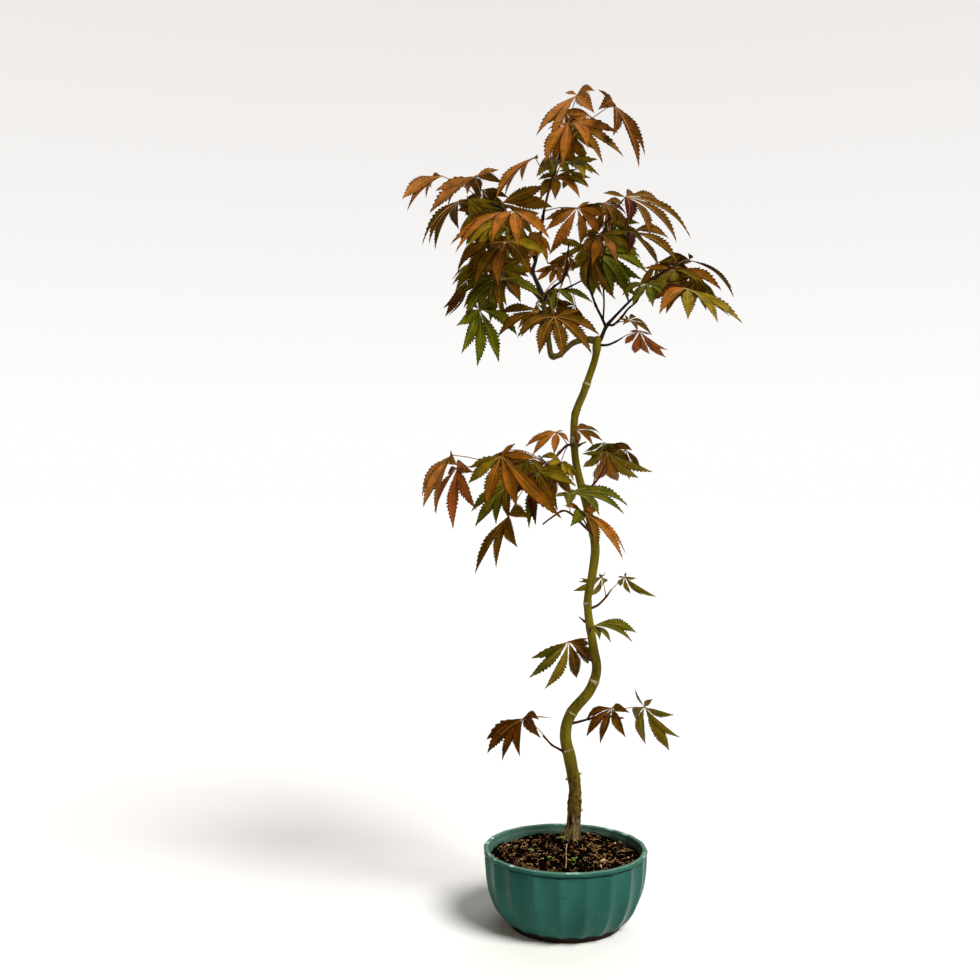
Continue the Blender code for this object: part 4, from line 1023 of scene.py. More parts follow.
def fine_rib(spine, across, normal, thick):
    """The midrib of a lobe, which stands proud on both sides of the blade and runs out at the tip."""
    loops = []
    for number, point in enumerate(spine):
        wide = thick * (1 - RIB_TAPER * number / (len(spine) - 1))
        middle = point - normal * (FINE_BLADE / 2)
        up, side = normal * (FINE_BLADE / 2 + RIB_PROUD * wide), across * wide
        loops.append([middle + up, middle + side, middle - up, middle - side])
    return skin(loops)


def bud(place, ahead, size):
    """A pointed bud that leaves its twig in this direction."""
    return tube(smooth(drawn_out(place, ahead, BUD, size), BUD_STEPS), BUD_SIDES)


def make_leaf(leaf, depth, lines, shells, settings, rng):
    """A leaf's lobes, each in its tint, with its stalk and the knob where they meet."""
    hub, lobes = lobes_of(leaf, depth)
    ribs = shells["leaf_ribs_green" if leaf.tint in GREEN_TINTS else "leaf_ribs_pale"]
    for lobe in lobes:
        fine_lobe(shells[leaf.odd.get(lobe[0], leaf.tint)], ribs, hub, lobe, settings, rng)
    stalk = smooth(petiole(hub, lines), STALK_STEPS)
    flare, points = STALK_FLARE
    for number, point in enumerate(stalk):
        point.w = settings.stalk / MM * (1 + flare * math.exp(-number / points))
    for line in (stalk, drawn_out(hub, lobes[0][3], KNOB)):
        shells["leaf_stalks"].add(*tube(line, STALK_SIDES))


def make_twigs(mass, shells):
    """A mass's twigs with the swellings where leaves sit, and buds on their ends."""
    crown = mass.twigs[0][0][1] > CROWN_FLOOR
    shell = shells["crown_twigs" if crown else "young_shoots"]
    swell, points = TWIG_SWELL
    for number, places in enumerate(mass.twigs):
        line = twig_line(places, number == 0, TWIG_FINE_STEPS)
        for index, point in enumerate(line):
            point.w *= 1 + swell * math.exp(-((index % (2 * TWIG_FINE_STEPS)) / points) ** 2)
        shell.add(*tube(line, TWIG_FINE_SIDES))
        end, before = line[-1].xyz, line[-TWIG_END].xyz
        ahead = (end - before).normalized()
        side = ahead.orthogonal().normalized()
        for lean in BUD_LEANS:
            shell.add(*bud(end - ahead * BUD_SINK, (ahead + side * lean).normalized(), TWIG_BUD))


# Pieces of ribs, stalks and twigs: (finish, material, setting that holds its colour)
LEAF_WOOD = {
    "leaf_ribs_pale": ("vein", "pale_rib", "pale_rib"),
    "leaf_ribs_green": ("vein", "green_rib", "green_rib"),
    "leaf_stalks": ("vein", "stalk", "stalk_colour"),
    "crown_twigs": ("twig", "dark_twig", "crown_twig"),
    "young_shoots": ("twig", "red_shoot", "young_shoot"),
}


def make_foliage(settings):
    """Leaf blades by tint, their ribs and stalks, and the twigs."""
    twigs, kept = grow()
    rng = random.Random(SEED + 1)
    shells = {name: Shell() for name in (*TINTS, *LEAF_WOOD)}
    masses_of = {tint: set() for tint in TINTS}
    for name, mass in MASSES.items():
        for leaf, depth in kept[name]:
            make_leaf(leaf, depth, twigs[name], shells, settings, rng)
            for tint in (leaf.tint, *leaf.odd.values()):
                masses_of[tint].add(name)
        make_twigs(mass, shells)
    for tint in TINTS:
        colour = getattr(settings, tint)
        look = leaf_look("leaf_" + tint, colour)
        edge = leaf_look("edge_" + tint, shade(colour, *settings.margin))
        piece("leaves_" + tint, shells[tint], look, sorted(masses_of[tint]), second=edge)
    for name, (finish, look, setting) in LEAF_WOOD.items():
        piece(name, shells[name], plain_look(finish, look, getattr(settings, setting)))


# Bark


def root_ridge(z, turn):
    """How much the root base stands out at this height and turn, as a share of the radius."""
    ridges = sum(height * math.cos(count * turn + start) for count, start, height in ROOT_RIDGES)
    return clamped((ROOT_TOP - z) / ROOT_BLEND) * ridges


def bark_swell(z, turn, knots):
    """Swelling in millimetres: knots where shoots grew, and the bark's own unevenness."""
    swell = sum(size * math.exp(-((z - place) / tall) ** 2) for place, size, tall in knots)
    swell += SMOOTH_SWELL * noise.noise(around(turn, z=z * SMOOTH_ALONG) * SMOOTH_TIGHT)
    rough = clamped((OLD_BARK - z) / OLD_BLEND) * ROUGH_SWELL
    return swell + rough * noise.noise(around(turn, ROUGH_TIGHT, z * ROUGH_ALONG))


def barked(line, sides, knots=(), proud=0.0):
    """Rings round the line with the bark's relief."""
    loops = rings(line, sides)
    for point, loop in zip(line, loops):
        for side, corner in enumerate(loop):
            turn = 2 * math.pi * side / sides
            grown = 1 + root_ridge(point.z, turn) + (bark_swell(point.z, turn, knots) + proud) / point.w
            loop[side] = point.xyz + (corner - point.xyz) * grown
    return loops


def dome(line):
    """The line with its end rounded off."""
    end = line[-1]
    return line + drawn_out(end.xyz, (end - line[-2]).xyz.normalized(), DOME, end.w)


def trunk_place(line, z):
    """The index of the line's point that is nearest to this height."""
    return min(range(len(line)), key=lambda index: abs(line[index].z - z))


def make_trunk(line, settings):
    """The trunk, from a little below the soil to its rounded top."""
    foot = line[0]
    below = [Vector((foot.x, foot.y, foot.z - drop, foot.w + drop * ROOT_SPREAD)) for drop in ROOT_DROPS]
    shell = Shell(skin(barked(below + dome(line), TRUNK_SIDES, TRUNK_NODES)))
    piece("trunk_bark", shell, trunk_look(settings), ("trunk",))


def make_boughs(settings):
    """The boughs, each growing out of the limb that carries it."""
    olive = plain_look("bark", "bough_bark", settings.bough_colour, settings.bough_dark)
    dark = plain_look("bark", "dark_bark", settings.crown_colour, settings.crown_dark)
    collar, reach = BOUGH_COLLAR
    for name, places in BOUGHS.items():
        line = smooth(route(places), BOUGH_STEPS)
        for index, point in enumerate(line):
            point.w *= 1 + collar * math.exp(-((index - BOUGH_STEPS / 2) / reach) ** 2)
        knots = [(point[1], *BOUGH_NODE) for point in places[2::2]]
        look = olive if name.startswith("left_bough") else dark
        piece(name + "_bark", Shell(skin(barked(dome(line), BOUGH_SIDES, knots))), look, (name,))


def make_scars(line, settings):
    """Pale rings and stubs on the trunk, where shoots ended."""
    pale = Shell()
    for z, tall, proud in PALE_RINGS:
        place = trunk_place(line, z)
        pale.add(*skin(barked(line[place:place + tall + 1], TRUNK_SIDES, TRUNK_NODES, proud)))
    for z, turn, size in SCARS:
        point = line[trunk_place(line, z)]
        out = Vector((math.sin(turn), -math.cos(turn), 0.0))
        pale.add(*bud(point.xyz + out * (point.w * SCAR_SEAT), out, size))
    look = plain_look("bark", "scar_bark", settings.scar_colour, settings.old_colour)
    piece("bark_scars", pale, look)


def make_spurs(settings):
    """Short spurs on the trunk."""
    spurs = Shell()
    for x, z, end_x, end_z, thick in SPURS:
        depth = trunk_depth(z)
        places = [
            (x + (end_x - x) * way, z + (end_z - z) * way + rise, depth + nearer, thick * width)
            for way, rise, nearer, width in SPUR_SHAPE
        ]
        spurs.add(*tube(dome(smooth(route(places), SPUR_STEPS)), TWIG_FINE_SIDES))
    piece("bark_spurs", spurs, plain_look("twig", "spur_bark", settings.spur_colour))


def root_strand(line, turn, rng):
    """A strand of old root that runs down the base's side and spreads into the soil."""
    turn += rng.uniform(-STRAND_TURN, STRAND_TURN)
    thick = rng.uniform(*STRAND_RADII)
    least, gain = STRAND_START
    strand = []
    for index in range(rng.randrange(len(line) // 2, len(line)), -1, -STRAND_STEP):
        point = line[index]
        turn += rng.uniform(-STRAND_SWAY, STRAND_SWAY)
        reach = point.w * STRAND_SEAT + rng.uniform(*STRAND_SEAT_SPREAD)
        rounding = min(1.0, least + gain * len(strand))
        strand.append(Vector((*(point.xyz + around(turn) * reach), thick * rounding)))
    foot = strand[-1]
    for nearest, farthest, drop in STRAND_FEET:
        place = foot.xyz + around(turn) * rng.uniform(nearest, farthest) - Vector((0, 0, drop))
        strand.append(Vector((*place, foot.w * (1 - STRAND_TAPER * drop))))
    return tube(smooth(strand, STRAND_FINE_STEPS), STRAND_SIDES)


def make_root_strands(line, settings, rng):
    """The strands all round the root base."""
    base = line[:trunk_place(line, ROOT_TOP) + 1]
    count = settings.root_strands
    strands = Shell(*[root_strand(base, 2 * math.pi * number / count, rng) for number in range(count)])
    look = plain_look("bark", "root_bark", settings.root_colour, settings.old_colour)
    piece("root_strands", strands, look)


def make_bark(settings):
    line = smooth(trunk_line(), TRUNK_STEPS)
    make_trunk(line, settings)
    make_boughs(settings)
    make_scars(line, settings)
    make_spurs(settings)
    make_root_strands(line, settings, random.Random(SEED + 3))


# Bowl


def flute_loop(radius, height, share, hollow):
    """A ring of the bowl: flat flutes, a little hollow, between softly rounded edges."""
    loop = []
    half = math.pi / FLUTES
    for index in range(FLUTES * FLUTE_STEPS):
        place = 2 * (index % FLUTE_STEPS) / FLUTE_STEPS - 1
        turn = FLUTE_TURN + half * (1 + 2 * (index // FLUTE_STEPS) + place)
        flat_side = radius * math.cos(half) / math.cos(place * half) - hollow * (1 - place ** 2)
        flat_side -= FLUTE_ROUND * (max(0.0, abs(place) - EDGE_FROM) / (1 - EDGE_FROM)) ** 2
        loop.append(around(turn, radius + (flat_side - radius) * share, height))
    return loop


def make_bowl(settings):
    """The glazed bowl with its rolled lip, on a bare clay foot."""
    profile = smooth([Vector((*point, 0.0)) for point in BOWL_PROFILE], PROFILE_STEPS)
    loops = []
    for radius, height, fluted, _ in profile:
        hollow = settings.flute_hollow / MM * clamped(LIP_FROM - height)
        loops.append(flute_loop(radius, height, clamped(fluted), hollow))
    shell = Shell(skin(loops))
    last = INNER_WALL * PROFILE_STEPS * len(loops[0])
    shell.looks = [int(number > last) for number in range(len(shell.faces))]
    # The outside's dark glaze is pooled glaze at the bead and also paints the shadow under the lip
    outside = glaze_look("bowl_glaze", settings, settings.glaze, settings.pooled_glaze_and_shadow)
    # Painted light: the inside's glaze is lighter, for the light that it reflects, and it has no dark band
    # under the lip
    inside = glaze_look("inner_glaze", settings, settings.lightened_inside_glaze, settings.lightened_inside_glaze)
    piece("glazed_bowl", shell, outside, ("pot",), second=inside)
    turns = [2 * math.pi * side / FOOT_SIDES for side in range(FOOT_SIDES)]
    foot = Shell(skin([[around(turn, radius, height) for turn in turns] for radius, height in FOOT_PROFILE]))
    piece("bowl_foot", foot, plain_look("clay", "foot_clay", settings.clay))


# Soil


def soil_height(x, y, foot):
    """The soil's surface: level at the wall, uneven, and heaped round the trunk's foot."""
    away = math.hypot(x - foot.x, y - foot.y)
    heap = MOUND_HEIGHT * math.exp(-(away / MOUND_WIDTH) ** 2)
    wave = SOIL_WAVE * sum(math.sin(along * x + across * y + start) for along, across, start in SOIL_WAVES)
    return SOIL_EDGE + heap + wave * min(1.0, away / MOUND_WIDTH)


def soil_surface(x, y, foot):
    """The height of the lumpy surface."""
    lumps = -LUMP_SINK
    for tight, size in SOIL_LUMPS:
        lumps += size * noise.noise(Vector((x * tight, y * tight, tight)))
    return soil_height(x, y, foot) + lumps


def soil_spots(foot, rng, edge):
    """Endless places on the soil, off the trunk's foot and this far from the wall."""
    while True:
        x, y = rng.uniform(-SOIL_REACH, SOIL_REACH), rng.uniform(-SOIL_REACH, SOIL_REACH)
        off_trunk = math.hypot(x - foot.x, y - foot.y) > foot.w - FOOT_OVERLAP
        if off_trunk and math.hypot(x, y) < SOIL_REACH - edge:
            yield Vector((x, y, soil_surface(x, y, foot)))


def ball(divisions):
    """The points and faces of a unit ball."""
    shape = bmesh.new()
    bmesh.ops.create_icosphere(shape, subdivisions=divisions, radius=1.0)
    shape.verts.index_update()
    points = [vert.co.copy() for vert in shape.verts]
    faces = [tuple(vert.index for vert in face.verts) for face in shape.faces]
    shape.free()
    return points, faces


def lump(ball_shape, centre, size, rng, squash):
    """A rough crumb, turned at random."""
    points, faces = ball_shape
    tilt = Vector((rng.uniform(-1, 1), rng.uniform(-1, 1), rng.uniform(-1, 1))).to_track_quat("Z", "Y")
    shift = Vector((rng.uniform(0, CRUMB_SHIFT), 0, 0))
    long = rng.uniform(*CRUMB_LONG)
    mean, bumps, tight = CRUMB_ROUGH
    grown = []
    for point in points:
        rough = mean + bumps * noise.noise(point * tight + shift)
        out = tilt @ Vector((point.x * long, point.y, point.z * squash)) * (size * rough)
        grown.append(centre + out)
    return grown, faces


def make_crumbs(settings, foot, rng):
    """Dark and brown crumbs and pale chips, scattered over the bed."""
    coarse, fine = ball(1), ball(2)
    shells = {kind: Shell() for kind in CRUMB_SHARES}
    smallest, largest = CRUMB_SIZES
    spots = soil_spots(foot, rng, CRUMB_GAP)
    for _ in range(settings.crumbs):
        size = min(largest, smallest * rng.paretovariate(CRUMB_SKEW))
        kind = rng.choices(tuple(CRUMB_SHARES), tuple(CRUMB_SHARES.values()))[0]
        spot = next(spots) + Vector((0, 0, size * CRUMB_SEAT))
        shells[kind].add(*lump(fine if size > FINE_CRUMB else coarse, spot, size, rng, CRUMB_SQUASH))
    for kind, shell in shells.items():
        look = plain_look("soil", kind + "_crumb", getattr(settings, kind))
        piece("soil_crumbs_" + kind, shell, look, smooth=False)
    chips = Shell()
    for x, y, size in CHIPS:
        spot = Vector((x, y, soil_surface(x, y, foot) + size * CHIP_SEAT))
        chips.add(*lump(fine, spot, size, rng, CHIP_SQUASH))
    for _ in range(settings.chips):
        chips.add(*lump(coarse, next(spots), rng.uniform(*CHIP_SIZES), rng, CHIP_SQUASH))
    piece("soil_chips", chips, plain_look("vein", "chip", settings.pale), smooth=False)


def fibre(start, length, radius, foot, rng):
    """A thin curled fibre that lies on the soil, or None where it would leave the bowl."""
    heading = rng.uniform(0, 2 * math.pi)
    curl = rng.uniform(-FIBRE_CURL, FIBRE_CURL)
    line = []
    place = start
    for step in range(FIBRE_STEPS + 1):
        if math.hypot(place.x, place.y) > SOIL_REACH - FIBRE_END_GAP:
            return None
        hop = math.sin(math.pi * step / FIBRE_STEPS) * rng.uniform(*FIBRE_HOPS)
        taper = radius * (1 - FIBRE_TAPER * step / FIBRE_STEPS)
        height = soil_surface(place.x, place.y, foot) + FIBRE_LIFT + hop
        line.append(Vector((place.x, place.y, height, taper)))
        heading += curl + rng.uniform(-FIBRE_SWAY, FIBRE_SWAY)
        place = place + around(heading) * (length / FIBRE_STEPS)
    return tube(line, FIBRE_SIDES)


def make_fibres(settings, foot, rng):
    """Tan and dark fibres that lie all over the bed."""
    fibres, rootlets = Shell(), Shell()
    spots = soil_spots(foot, rng, FIBRE_GAP)
    for number in range(settings.fibres):
        made = fibre(next(spots), rng.uniform(*FIBRE_LENGTHS), rng.uniform(*FIBRE_RADII), foot, rng)
        if made:
            (fibres if number % ROOTLETS else rootlets).add(*made)
    piece("soil_fibres", fibres, plain_look("soil", "fibre", settings.fibre))
    piece("soil_rootlets", rootlets, plain_look("soil", "rootlet", settings.brown))


def leaflet(root, out, size):
    """A small round seed leaf, a little cupped."""
    side = out.cross(Vector((0, 0, 1))).normalized()
    up = side.cross(out)
    long, wide, cup = (size * share for share in SEED_LEAF_SHAPE)
    loops = ([], [])
    for index in range(SEED_LEAF_SIDES):
        turn = -2 * math.pi * index / SEED_LEAF_SIDES
        place = root + out * (long * (1 + math.cos(turn))) + side * (wide * math.sin(turn))
        place += up * (cup * math.sin(turn) ** 2)
        loops[0].append(place - up * SEED_LEAF_THICK)
        loops[1].append(place + up * SEED_LEAF_THICK)
    return skin(loops)


def make_seedlings(settings, foot, rng):
    """Seedlings of three or four round leaves, and a stalk of straw."""
    green = Shell()
    for x, y, height, size in SEEDLINGS:
        base = Vector((x, y, soil_surface(x, y, foot) - SEED_SINK))
        lean = (rng.uniform(-SEED_LEAN, SEED_LEAN), rng.uniform(-SEED_LEAN, SEED_LEAN))
        top = base + Vector((*lean, height))
        stem = (base, (base + top) / 2 + SEED_STEM_BEND, top)
        green.add(*tube([Vector((*point, SEED_STEM)) for point in stem], SEED_STEM_SIDES))
        turn = rng.uniform(0, math.pi)
        for number in range(rng.choice(SEED_LEAVES)):
            out = around(turn + number * SEED_LEAF_TURN, z=rng.uniform(*SEED_LEAF_RISES)).normalized()
            green.add(*leaflet(top, out, size * rng.uniform(*SEED_LEAF_SPREAD)))
    piece("seedlings", green, plain_look("vein", "seedling_leaf", settings.seedling))
    line = [Vector((x, y, soil_surface(x, y, foot) + STRAW_RISE, STRAW_RADIUS)) for x, y in STRAW]
    straw = Shell(tube(smooth(line, STRAW_STEPS), STRAW_SIDES))
    piece("straw", straw, plain_look("soil", "straw_stalk", settings.pale))


def make_soil(settings):
    """The bed in the bowl, and all that lies on it."""
    foot = trunk_line()[0]
    rng = random.Random(SEED + 2)
    loops = []
    for ring in range(-1, SOIL_RINGS):
        radius = SOIL_REACH * (1 - max(0, ring) / SOIL_RINGS)
        loop = []
        for side in range(SOIL_SIDES):
            turn = 2 * math.pi * side / SOIL_SIDES
            x, y = radius * math.cos(turn), radius * math.sin(turn)
            loop.append(Vector((x, y, soil_surface(x, y, foot) if ring >= 0 else SOIL_EDGE - SOIL_SKIN)))
        loops.append(loop)
    piece("soil_bed", Shell(skin(loops)), plain_look("soil", "soil", settings.dark), ("soil",))
    make_crumbs(settings, foot, rng)
    make_fibres(settings, foot, rng)
    make_seedlings(settings, foot, rng)


# Shader groups and looks

WHITE, BLACK = (1.0, 1.0, 1.0, 1.0), (0.0, 0.0, 0.0, 1.0)
LEAF_GLEAM = (1.0, 0.75, 0.4)
GLAZE_GLEAM = (0.5, 0.85, 0.8)
# Patches are (scale, stretch, low, high), a dark or pale tone is over the colour, pores are (scale,
# stretch, size, strength, pale tone), and a grain is (scale, stretch, detail)
LEAF_PATCHES, LEAF_DARK = (110.0, 1.0, 0.42, 0.62), (0.5, 0.62, 0.5)
LEAF_GRAIN = (900.0, 1.0, 3.0)
YOUNG_PATCHES, YOUNG_PORES = (120.0, 0.25, 0.42, 0.68), (260.0, 0.6, 0.2, 0.5, (1.9, 1.7, 2.0))
OLD_PATCHES = (330.0, 0.35, 0.44, 0.56)
BROWN_PATCHES = (230.0, 0.7, 0.48, 0.66)
BARK_GRAINS = ((420.0, 0.4, 8.0), (700.0, 0.2, 5.0))  # coarse and fine
GLAZE_PATCHES, GLAZE_DARK = (26.0, 0.5, 0.35, 0.7), (0.6, 0.66, 0.66)
GLAZE_GRAINS = ((55.0, 1.0, 2.0), (700.0, 1.0, 2.0))  # ripples and specks
SPECKS = 0.05  # height of the specks over that of the ripples
# The lip is paler from thinner glaze, and from a painted highlight as well
THIN_AND_LIT_LIP = 0.62  # share of the thin glaze's colour on the lip
# Where a finish, a painted shadow or a painted highlight changes over the height: (from, to, how far its
# edge wavers, waves to the metre)
AGE_FADE = (OLD_BARK - 30.0, OLD_BARK + 14.0, 50.0, 90.0)
ROOT_FADE = (ROOT_TOP - 4.0, ROOT_TOP + 3.0, 20.0, 120.0)
LIP_FADE = (74.2, 75.3, 1.2, 120.0)
# Painted shadow under the overhanging lip, where the glaze also pools: a band that rises over the first
# heights and falls over the second
LIP_SHADOW_FOOT = (69.0, 70.0, 3.6, 55.0)
LIP_SHADOW_TOP = (72.2, 71.0)
BEAD_FADE = (8.5, 6.5, 1.0, 150.0)


def feed(tree, socket, value):
    """Links a socket to another one's output, or sets its plain value."""
    if isinstance(value, bpy.types.NodeSocket):
        tree.links.new(value, socket)
    elif hasattr(socket.default_value, "__len__") and len(socket.default_value) == 4:
        socket.default_value = (*value[:3], 1.0)
    else:
        socket.default_value = value


def add(tree, kind, inputs, **settings):
    """A shader node with its settings made and its inputs fed."""
    made = tree.nodes.new("ShaderNode" + kind)
    for key, value in settings.items():
        setattr(made, key, value)
    for key, value in inputs.items():
        feed(tree, made.inputs[key], value)
    return made


def spaced(values):
    """The values under the names of their sockets, which have spaces in them."""
    return {key.replace("_", " "): value for key, value in values.items()}


def calculated(tree, operation, *values):
    return add(tree, "Math", dict(enumerate(values)), operation=operation).outputs[0]


def ranged(tree, value, **limits):
    """The value moved from one range to another, each of them 0 to 1 where it isn't given."""
    return add(tree, "MapRange", {"Value": value, **spaced(limits)}).outputs[0]


def mixed(tree, mask, first, second):
    blend = add(tree, "Mix", {"Factor": mask, "A": first, "B": second}, data_type="RGBA")
    return blend.outputs["Result"]


def stretched_place(tree, stretch):
    """The surface's place, drawn out along Z by this much."""
    place = add(tree, "TexCoord", {}).outputs["Object"]
    factor = add(tree, "CombineXYZ", {"X": 1.0, "Y": 1.0, "Z": stretch}).outputs[0]
    return add(tree, "VectorMath", {0: place, 1: factor}, operation="MULTIPLY").outputs[0]


def build_patches(tree, given, out):
    """Two tones in soft patches."""
    place = stretched_place(tree, given["Stretch"])
    inputs = {"Vector": place, "Scale": given["Scale"], "Detail": 5.0, "Roughness": 0.6}
    spots = add(tree, "TexNoise", inputs).outputs[0]
    mask = ranged(tree, spots, From_Min=given["Low"], From_Max=given["High"])
    feed(tree, out["Color"], mixed(tree, mask, given["Tone A"], given["Tone B"]))
    feed(tree, out["Mask"], mask)


def build_grain(tree, given, out):
    """A fine uneven height for bumps."""
    place = stretched_place(tree, given["Stretch"])
    grain = add(tree, "TexNoise", {"Vector": place, "Scale": given["Scale"], "Detail": given["Detail"]})
    feed(tree, out["Height"], grain.outputs[0])


def build_height_fade(tree, given, out):
    """A mask that rises from 0 to 1 between two heights, with a wavering edge."""
    place = add(tree, "TexCoord", {}).outputs["Object"]
    height = add(tree, "SeparateXYZ", {0: place}).outputs["Z"]
    spots = add(tree, "TexNoise", {"Vector": place, "Scale": given["Scale"], "Detail": 3.0}).outputs[0]
    shift = calculated(tree, "SUBTRACT", spots, 0.5)
    moved = calculated(tree, "MULTIPLY_ADD", shift, given["Waver"], height)
    limits = {"Value": moved, "From Min": given["Low"], "From Max": given["High"]}
    feed(tree, out["Mask"], add(tree, "MapRange", limits, interpolation_type="SMOOTHSTEP").outputs[0])


def build_dots(tree, given, out):
    """A mask of small scattered dots."""
    place = stretched_place(tree, given["Stretch"])
    cells = add(tree, "TexVoronoi", {"Vector": place, "Scale": given["Scale"], "Randomness": 1.0})
    feed(tree, out["Mask"], ranged(tree, cells.outputs["Distance"], From_Min=given["Size"], From_Max=0.0))


# Each group's builder, its inputs with their defaults, and its outputs
GROUPS = {
    "Patches": (
        build_patches,
        {"Tone A": WHITE, "Tone B": BLACK, "Scale": 60.0, "Stretch": 1.0, "Low": 0.4, "High": 0.6},
        ("Color", "Mask"),
    ),
    "Grain": (build_grain, {"Scale": 600.0, "Stretch": 1.0, "Detail": 4.0}, ("Height",)),
    "Height Fade": (build_height_fade, {"Low": 0.0, "High": 1.0, "Waver": 0.0, "Scale": 80.0}, ("Mask",)),
    "Dots": (build_dots, {"Scale": 200.0, "Stretch": 1.0, "Size": 0.2}, ("Mask",)),
}


def group(name):
    """The shader group of this name, built the first time that a material needs it."""
    if name in bpy.data.node_groups:
        return bpy.data.node_groups[name]
    build, inputs, outputs = GROUPS[name]
    tree = bpy.data.node_groups.new(name, "ShaderNodeTree")
    for label, value in inputs.items():
        kind = "NodeSocketFloat" if isinstance(value, float) else "NodeSocketColor"
        tree.interface.new_socket(label, in_out="INPUT", socket_type=kind).default_value = value
    for label in outputs:
        kind = "NodeSocketColor" if label == "Color" else "NodeSocketFloat"
        tree.interface.new_socket(label, in_out="OUTPUT", socket_type=kind)
    build(tree, tree.nodes.new("NodeGroupInput").outputs, tree.nodes.new("NodeGroupOutput").inputs)
    return tree


def use(tree, name, **inputs):
    """A shader group placed in a material with its own values: its outputs."""
    made = tree.nodes.new("ShaderNodeGroup")
    made.node_tree = group(name)
    for key, value in spaced(inputs).items():
        feed(tree, made.inputs[key], value)
    return made.outputs


def patches(tree, first, second, scale, stretch, low, high):
    tones = {"Tone_A": first, "Tone_B": second}
    return use(tree, "Patches", Scale=scale, Stretch=stretch, Low=low, High=high, **tones)["Color"]


def grain(tree, scale, stretch, detail):
    return use(tree, "Grain", Scale=scale, Stretch=stretch, Detail=detail)["Height"]


def fade(tree, low, high, waver=0.0, waves=80.0):
    """A mask that rises between two heights in millimetres."""
    return use(tree, "Height Fade", Low=low * MM, High=high * MM, Waver=waver * MM, Scale=waves)["Mask"]


def pored(tree, tone, colour, scale, stretch, size, strength, pale):
    """The tone with pale pores."""
    pores = use(tree, "Dots", Scale=scale, Stretch=stretch, Size=size)["Mask"]
    return mixed(tree, calculated(tree, "MULTIPLY", pores, strength), tone, shade(colour, *pale))


def new_look(name, **constants):
    """A material with a Principled shader: the material, its tree and its shader's inputs."""
    made = bpy.data.materials.new(name)
    made.use_nodes = True
    inputs = made.node_tree.nodes["Principled BSDF"].inputs
    for key, value in spaced(constants).items():
        feed(made.node_tree, inputs[key], value)
    return made, made.node_tree, inputs


def bumped(tree, inputs, height, distance, strength):
    bump = add(tree, "Bump", {"Height": height, "Distance": distance, "Strength": strength})
    feed(tree, inputs["Normal"], bump.outputs[0])


def shade(colour, red, green, blue):
    """The colour with each of its parts scaled."""
    return (colour[0] * red, colour[1] * green, colour[2] * blue)


# Relief is a grain, how deep it goes in metres, and its strength
Finish = namedtuple("Finish", "roughness gleam patches dark pores relief", defaults=((), ()))
FINISHES = {
    "vein": Finish(0.5, 0.2, (70.0, 1.0, 0.42, 0.62), (0.7, 0.6, 0.6)),
    "twig": Finish(0.5, 0.06, (160.0, 0.4, 0.4, 0.6), (0.5, 0.5, 0.5),
                   (420.0, 0.5, 0.22, 0.5, (2.6, 2.8, 3.0)), (1500.0, 0.3, 4.0, 0.0004, 0.7)),
    "bark": Finish(0.5, 0.06, (190.0, 0.22, 0.40, 0.68), (0.5, 0.5, 0.5),
                   (300.0, 0.55, 0.2, 0.45, (1.9, 1.7, 1.9)), (900.0, 0.25, 6.0, 0.0008, 0.8)),
    "clay": Finish(0.8, 0.15, (90.0, 1.0, 0.4, 0.6), (0.5, 0.5, 0.5), (), (900.0, 1.0, 6.0, 0.0006, 1.0)),
    "soil": Finish(0.9, 0.03, (150.0, 1.0, 0.42, 0.6), (0.3, 0.28, 0.25), (),
                   (1300.0, 1.0, 6.0, 0.001, 1.0)),
    "floor": Finish(0.9, 0.5, (1.5, 1.0, 0.4, 0.6), (0.985, 0.985, 0.985)),
}


def plain_look(kind, name, colour, dark=None):
    """A material of one colour with darker patches, and pale pores and relief where its finish has them."""
    finish = FINISHES[kind]
    made, tree, inputs = new_look(name, Roughness=finish.roughness, Specular_IOR_Level=finish.gleam)
    tone = patches(tree, colour, dark or shade(colour, *finish.dark), *finish.patches)
    if finish.pores:
        tone = pored(tree, tone, colour, *finish.pores)
    feed(tree, inputs["Base Color"], tone)
    if finish.relief:
        scale, stretch, detail, distance, strength = finish.relief
        bumped(tree, inputs, grain(tree, scale, stretch, detail), distance, strength)
    return made


def leaf_look(name, colour):
    """A satin leaf with slightly darker patches and a fine wrinkled surface."""
    made, tree, inputs = new_look(name, Specular_IOR_Level=0.07, IOR=1.25, Specular_Tint=LEAF_GLEAM)
    tone = patches(tree, colour, shade(colour, *LEAF_DARK), *LEAF_PATCHES)
    feed(tree, inputs["Base Color"], tone)
    height = grain(tree, *LEAF_GRAIN)
    feed(tree, inputs["Roughness"], ranged(tree, height, To_Min=0.38, To_Max=0.62))
    bumped(tree, inputs, height, distance=0.0003, strength=0.4)
    return made


def trunk_look(settings):
    """Olive bark that turns brown lower down, and grey, rough and cracked at the soil."""
    made, tree, inputs = new_look("trunk_bark", Specular_IOR_Level=0.05)
    colour, dark = settings.young_colour, settings.old_colour
    young = patches(tree, colour, settings.young_dark, *YOUNG_PATCHES)
    young = pored(tree, young, colour, *YOUNG_PORES)
    old = patches(tree, settings.root_colour, dark, *OLD_PATCHES)
    brown = patches(tree, settings.brown_colour, dark, *BROWN_PATCHES)
    age, risen = fade(tree, *AGE_FADE), fade(tree, *ROOT_FADE)
    feed(tree, inputs["Base Color"], mixed(tree, risen, old, mixed(tree, age, brown, young)))
    feed(tree, inputs["Roughness"], ranged(tree, age, To_Min=0.85, To_Max=0.45))
    coarse, fine = [grain(tree, *texture) for texture in BARK_GRAINS]
    weight = ranged(tree, age, To_Min=1.0, To_Max=0.15)
    relief = calculated(tree, "MULTIPLY_ADD", coarse, weight, fine)
    bumped(tree, inputs, relief, distance=0.0012, strength=0.8)
    return made


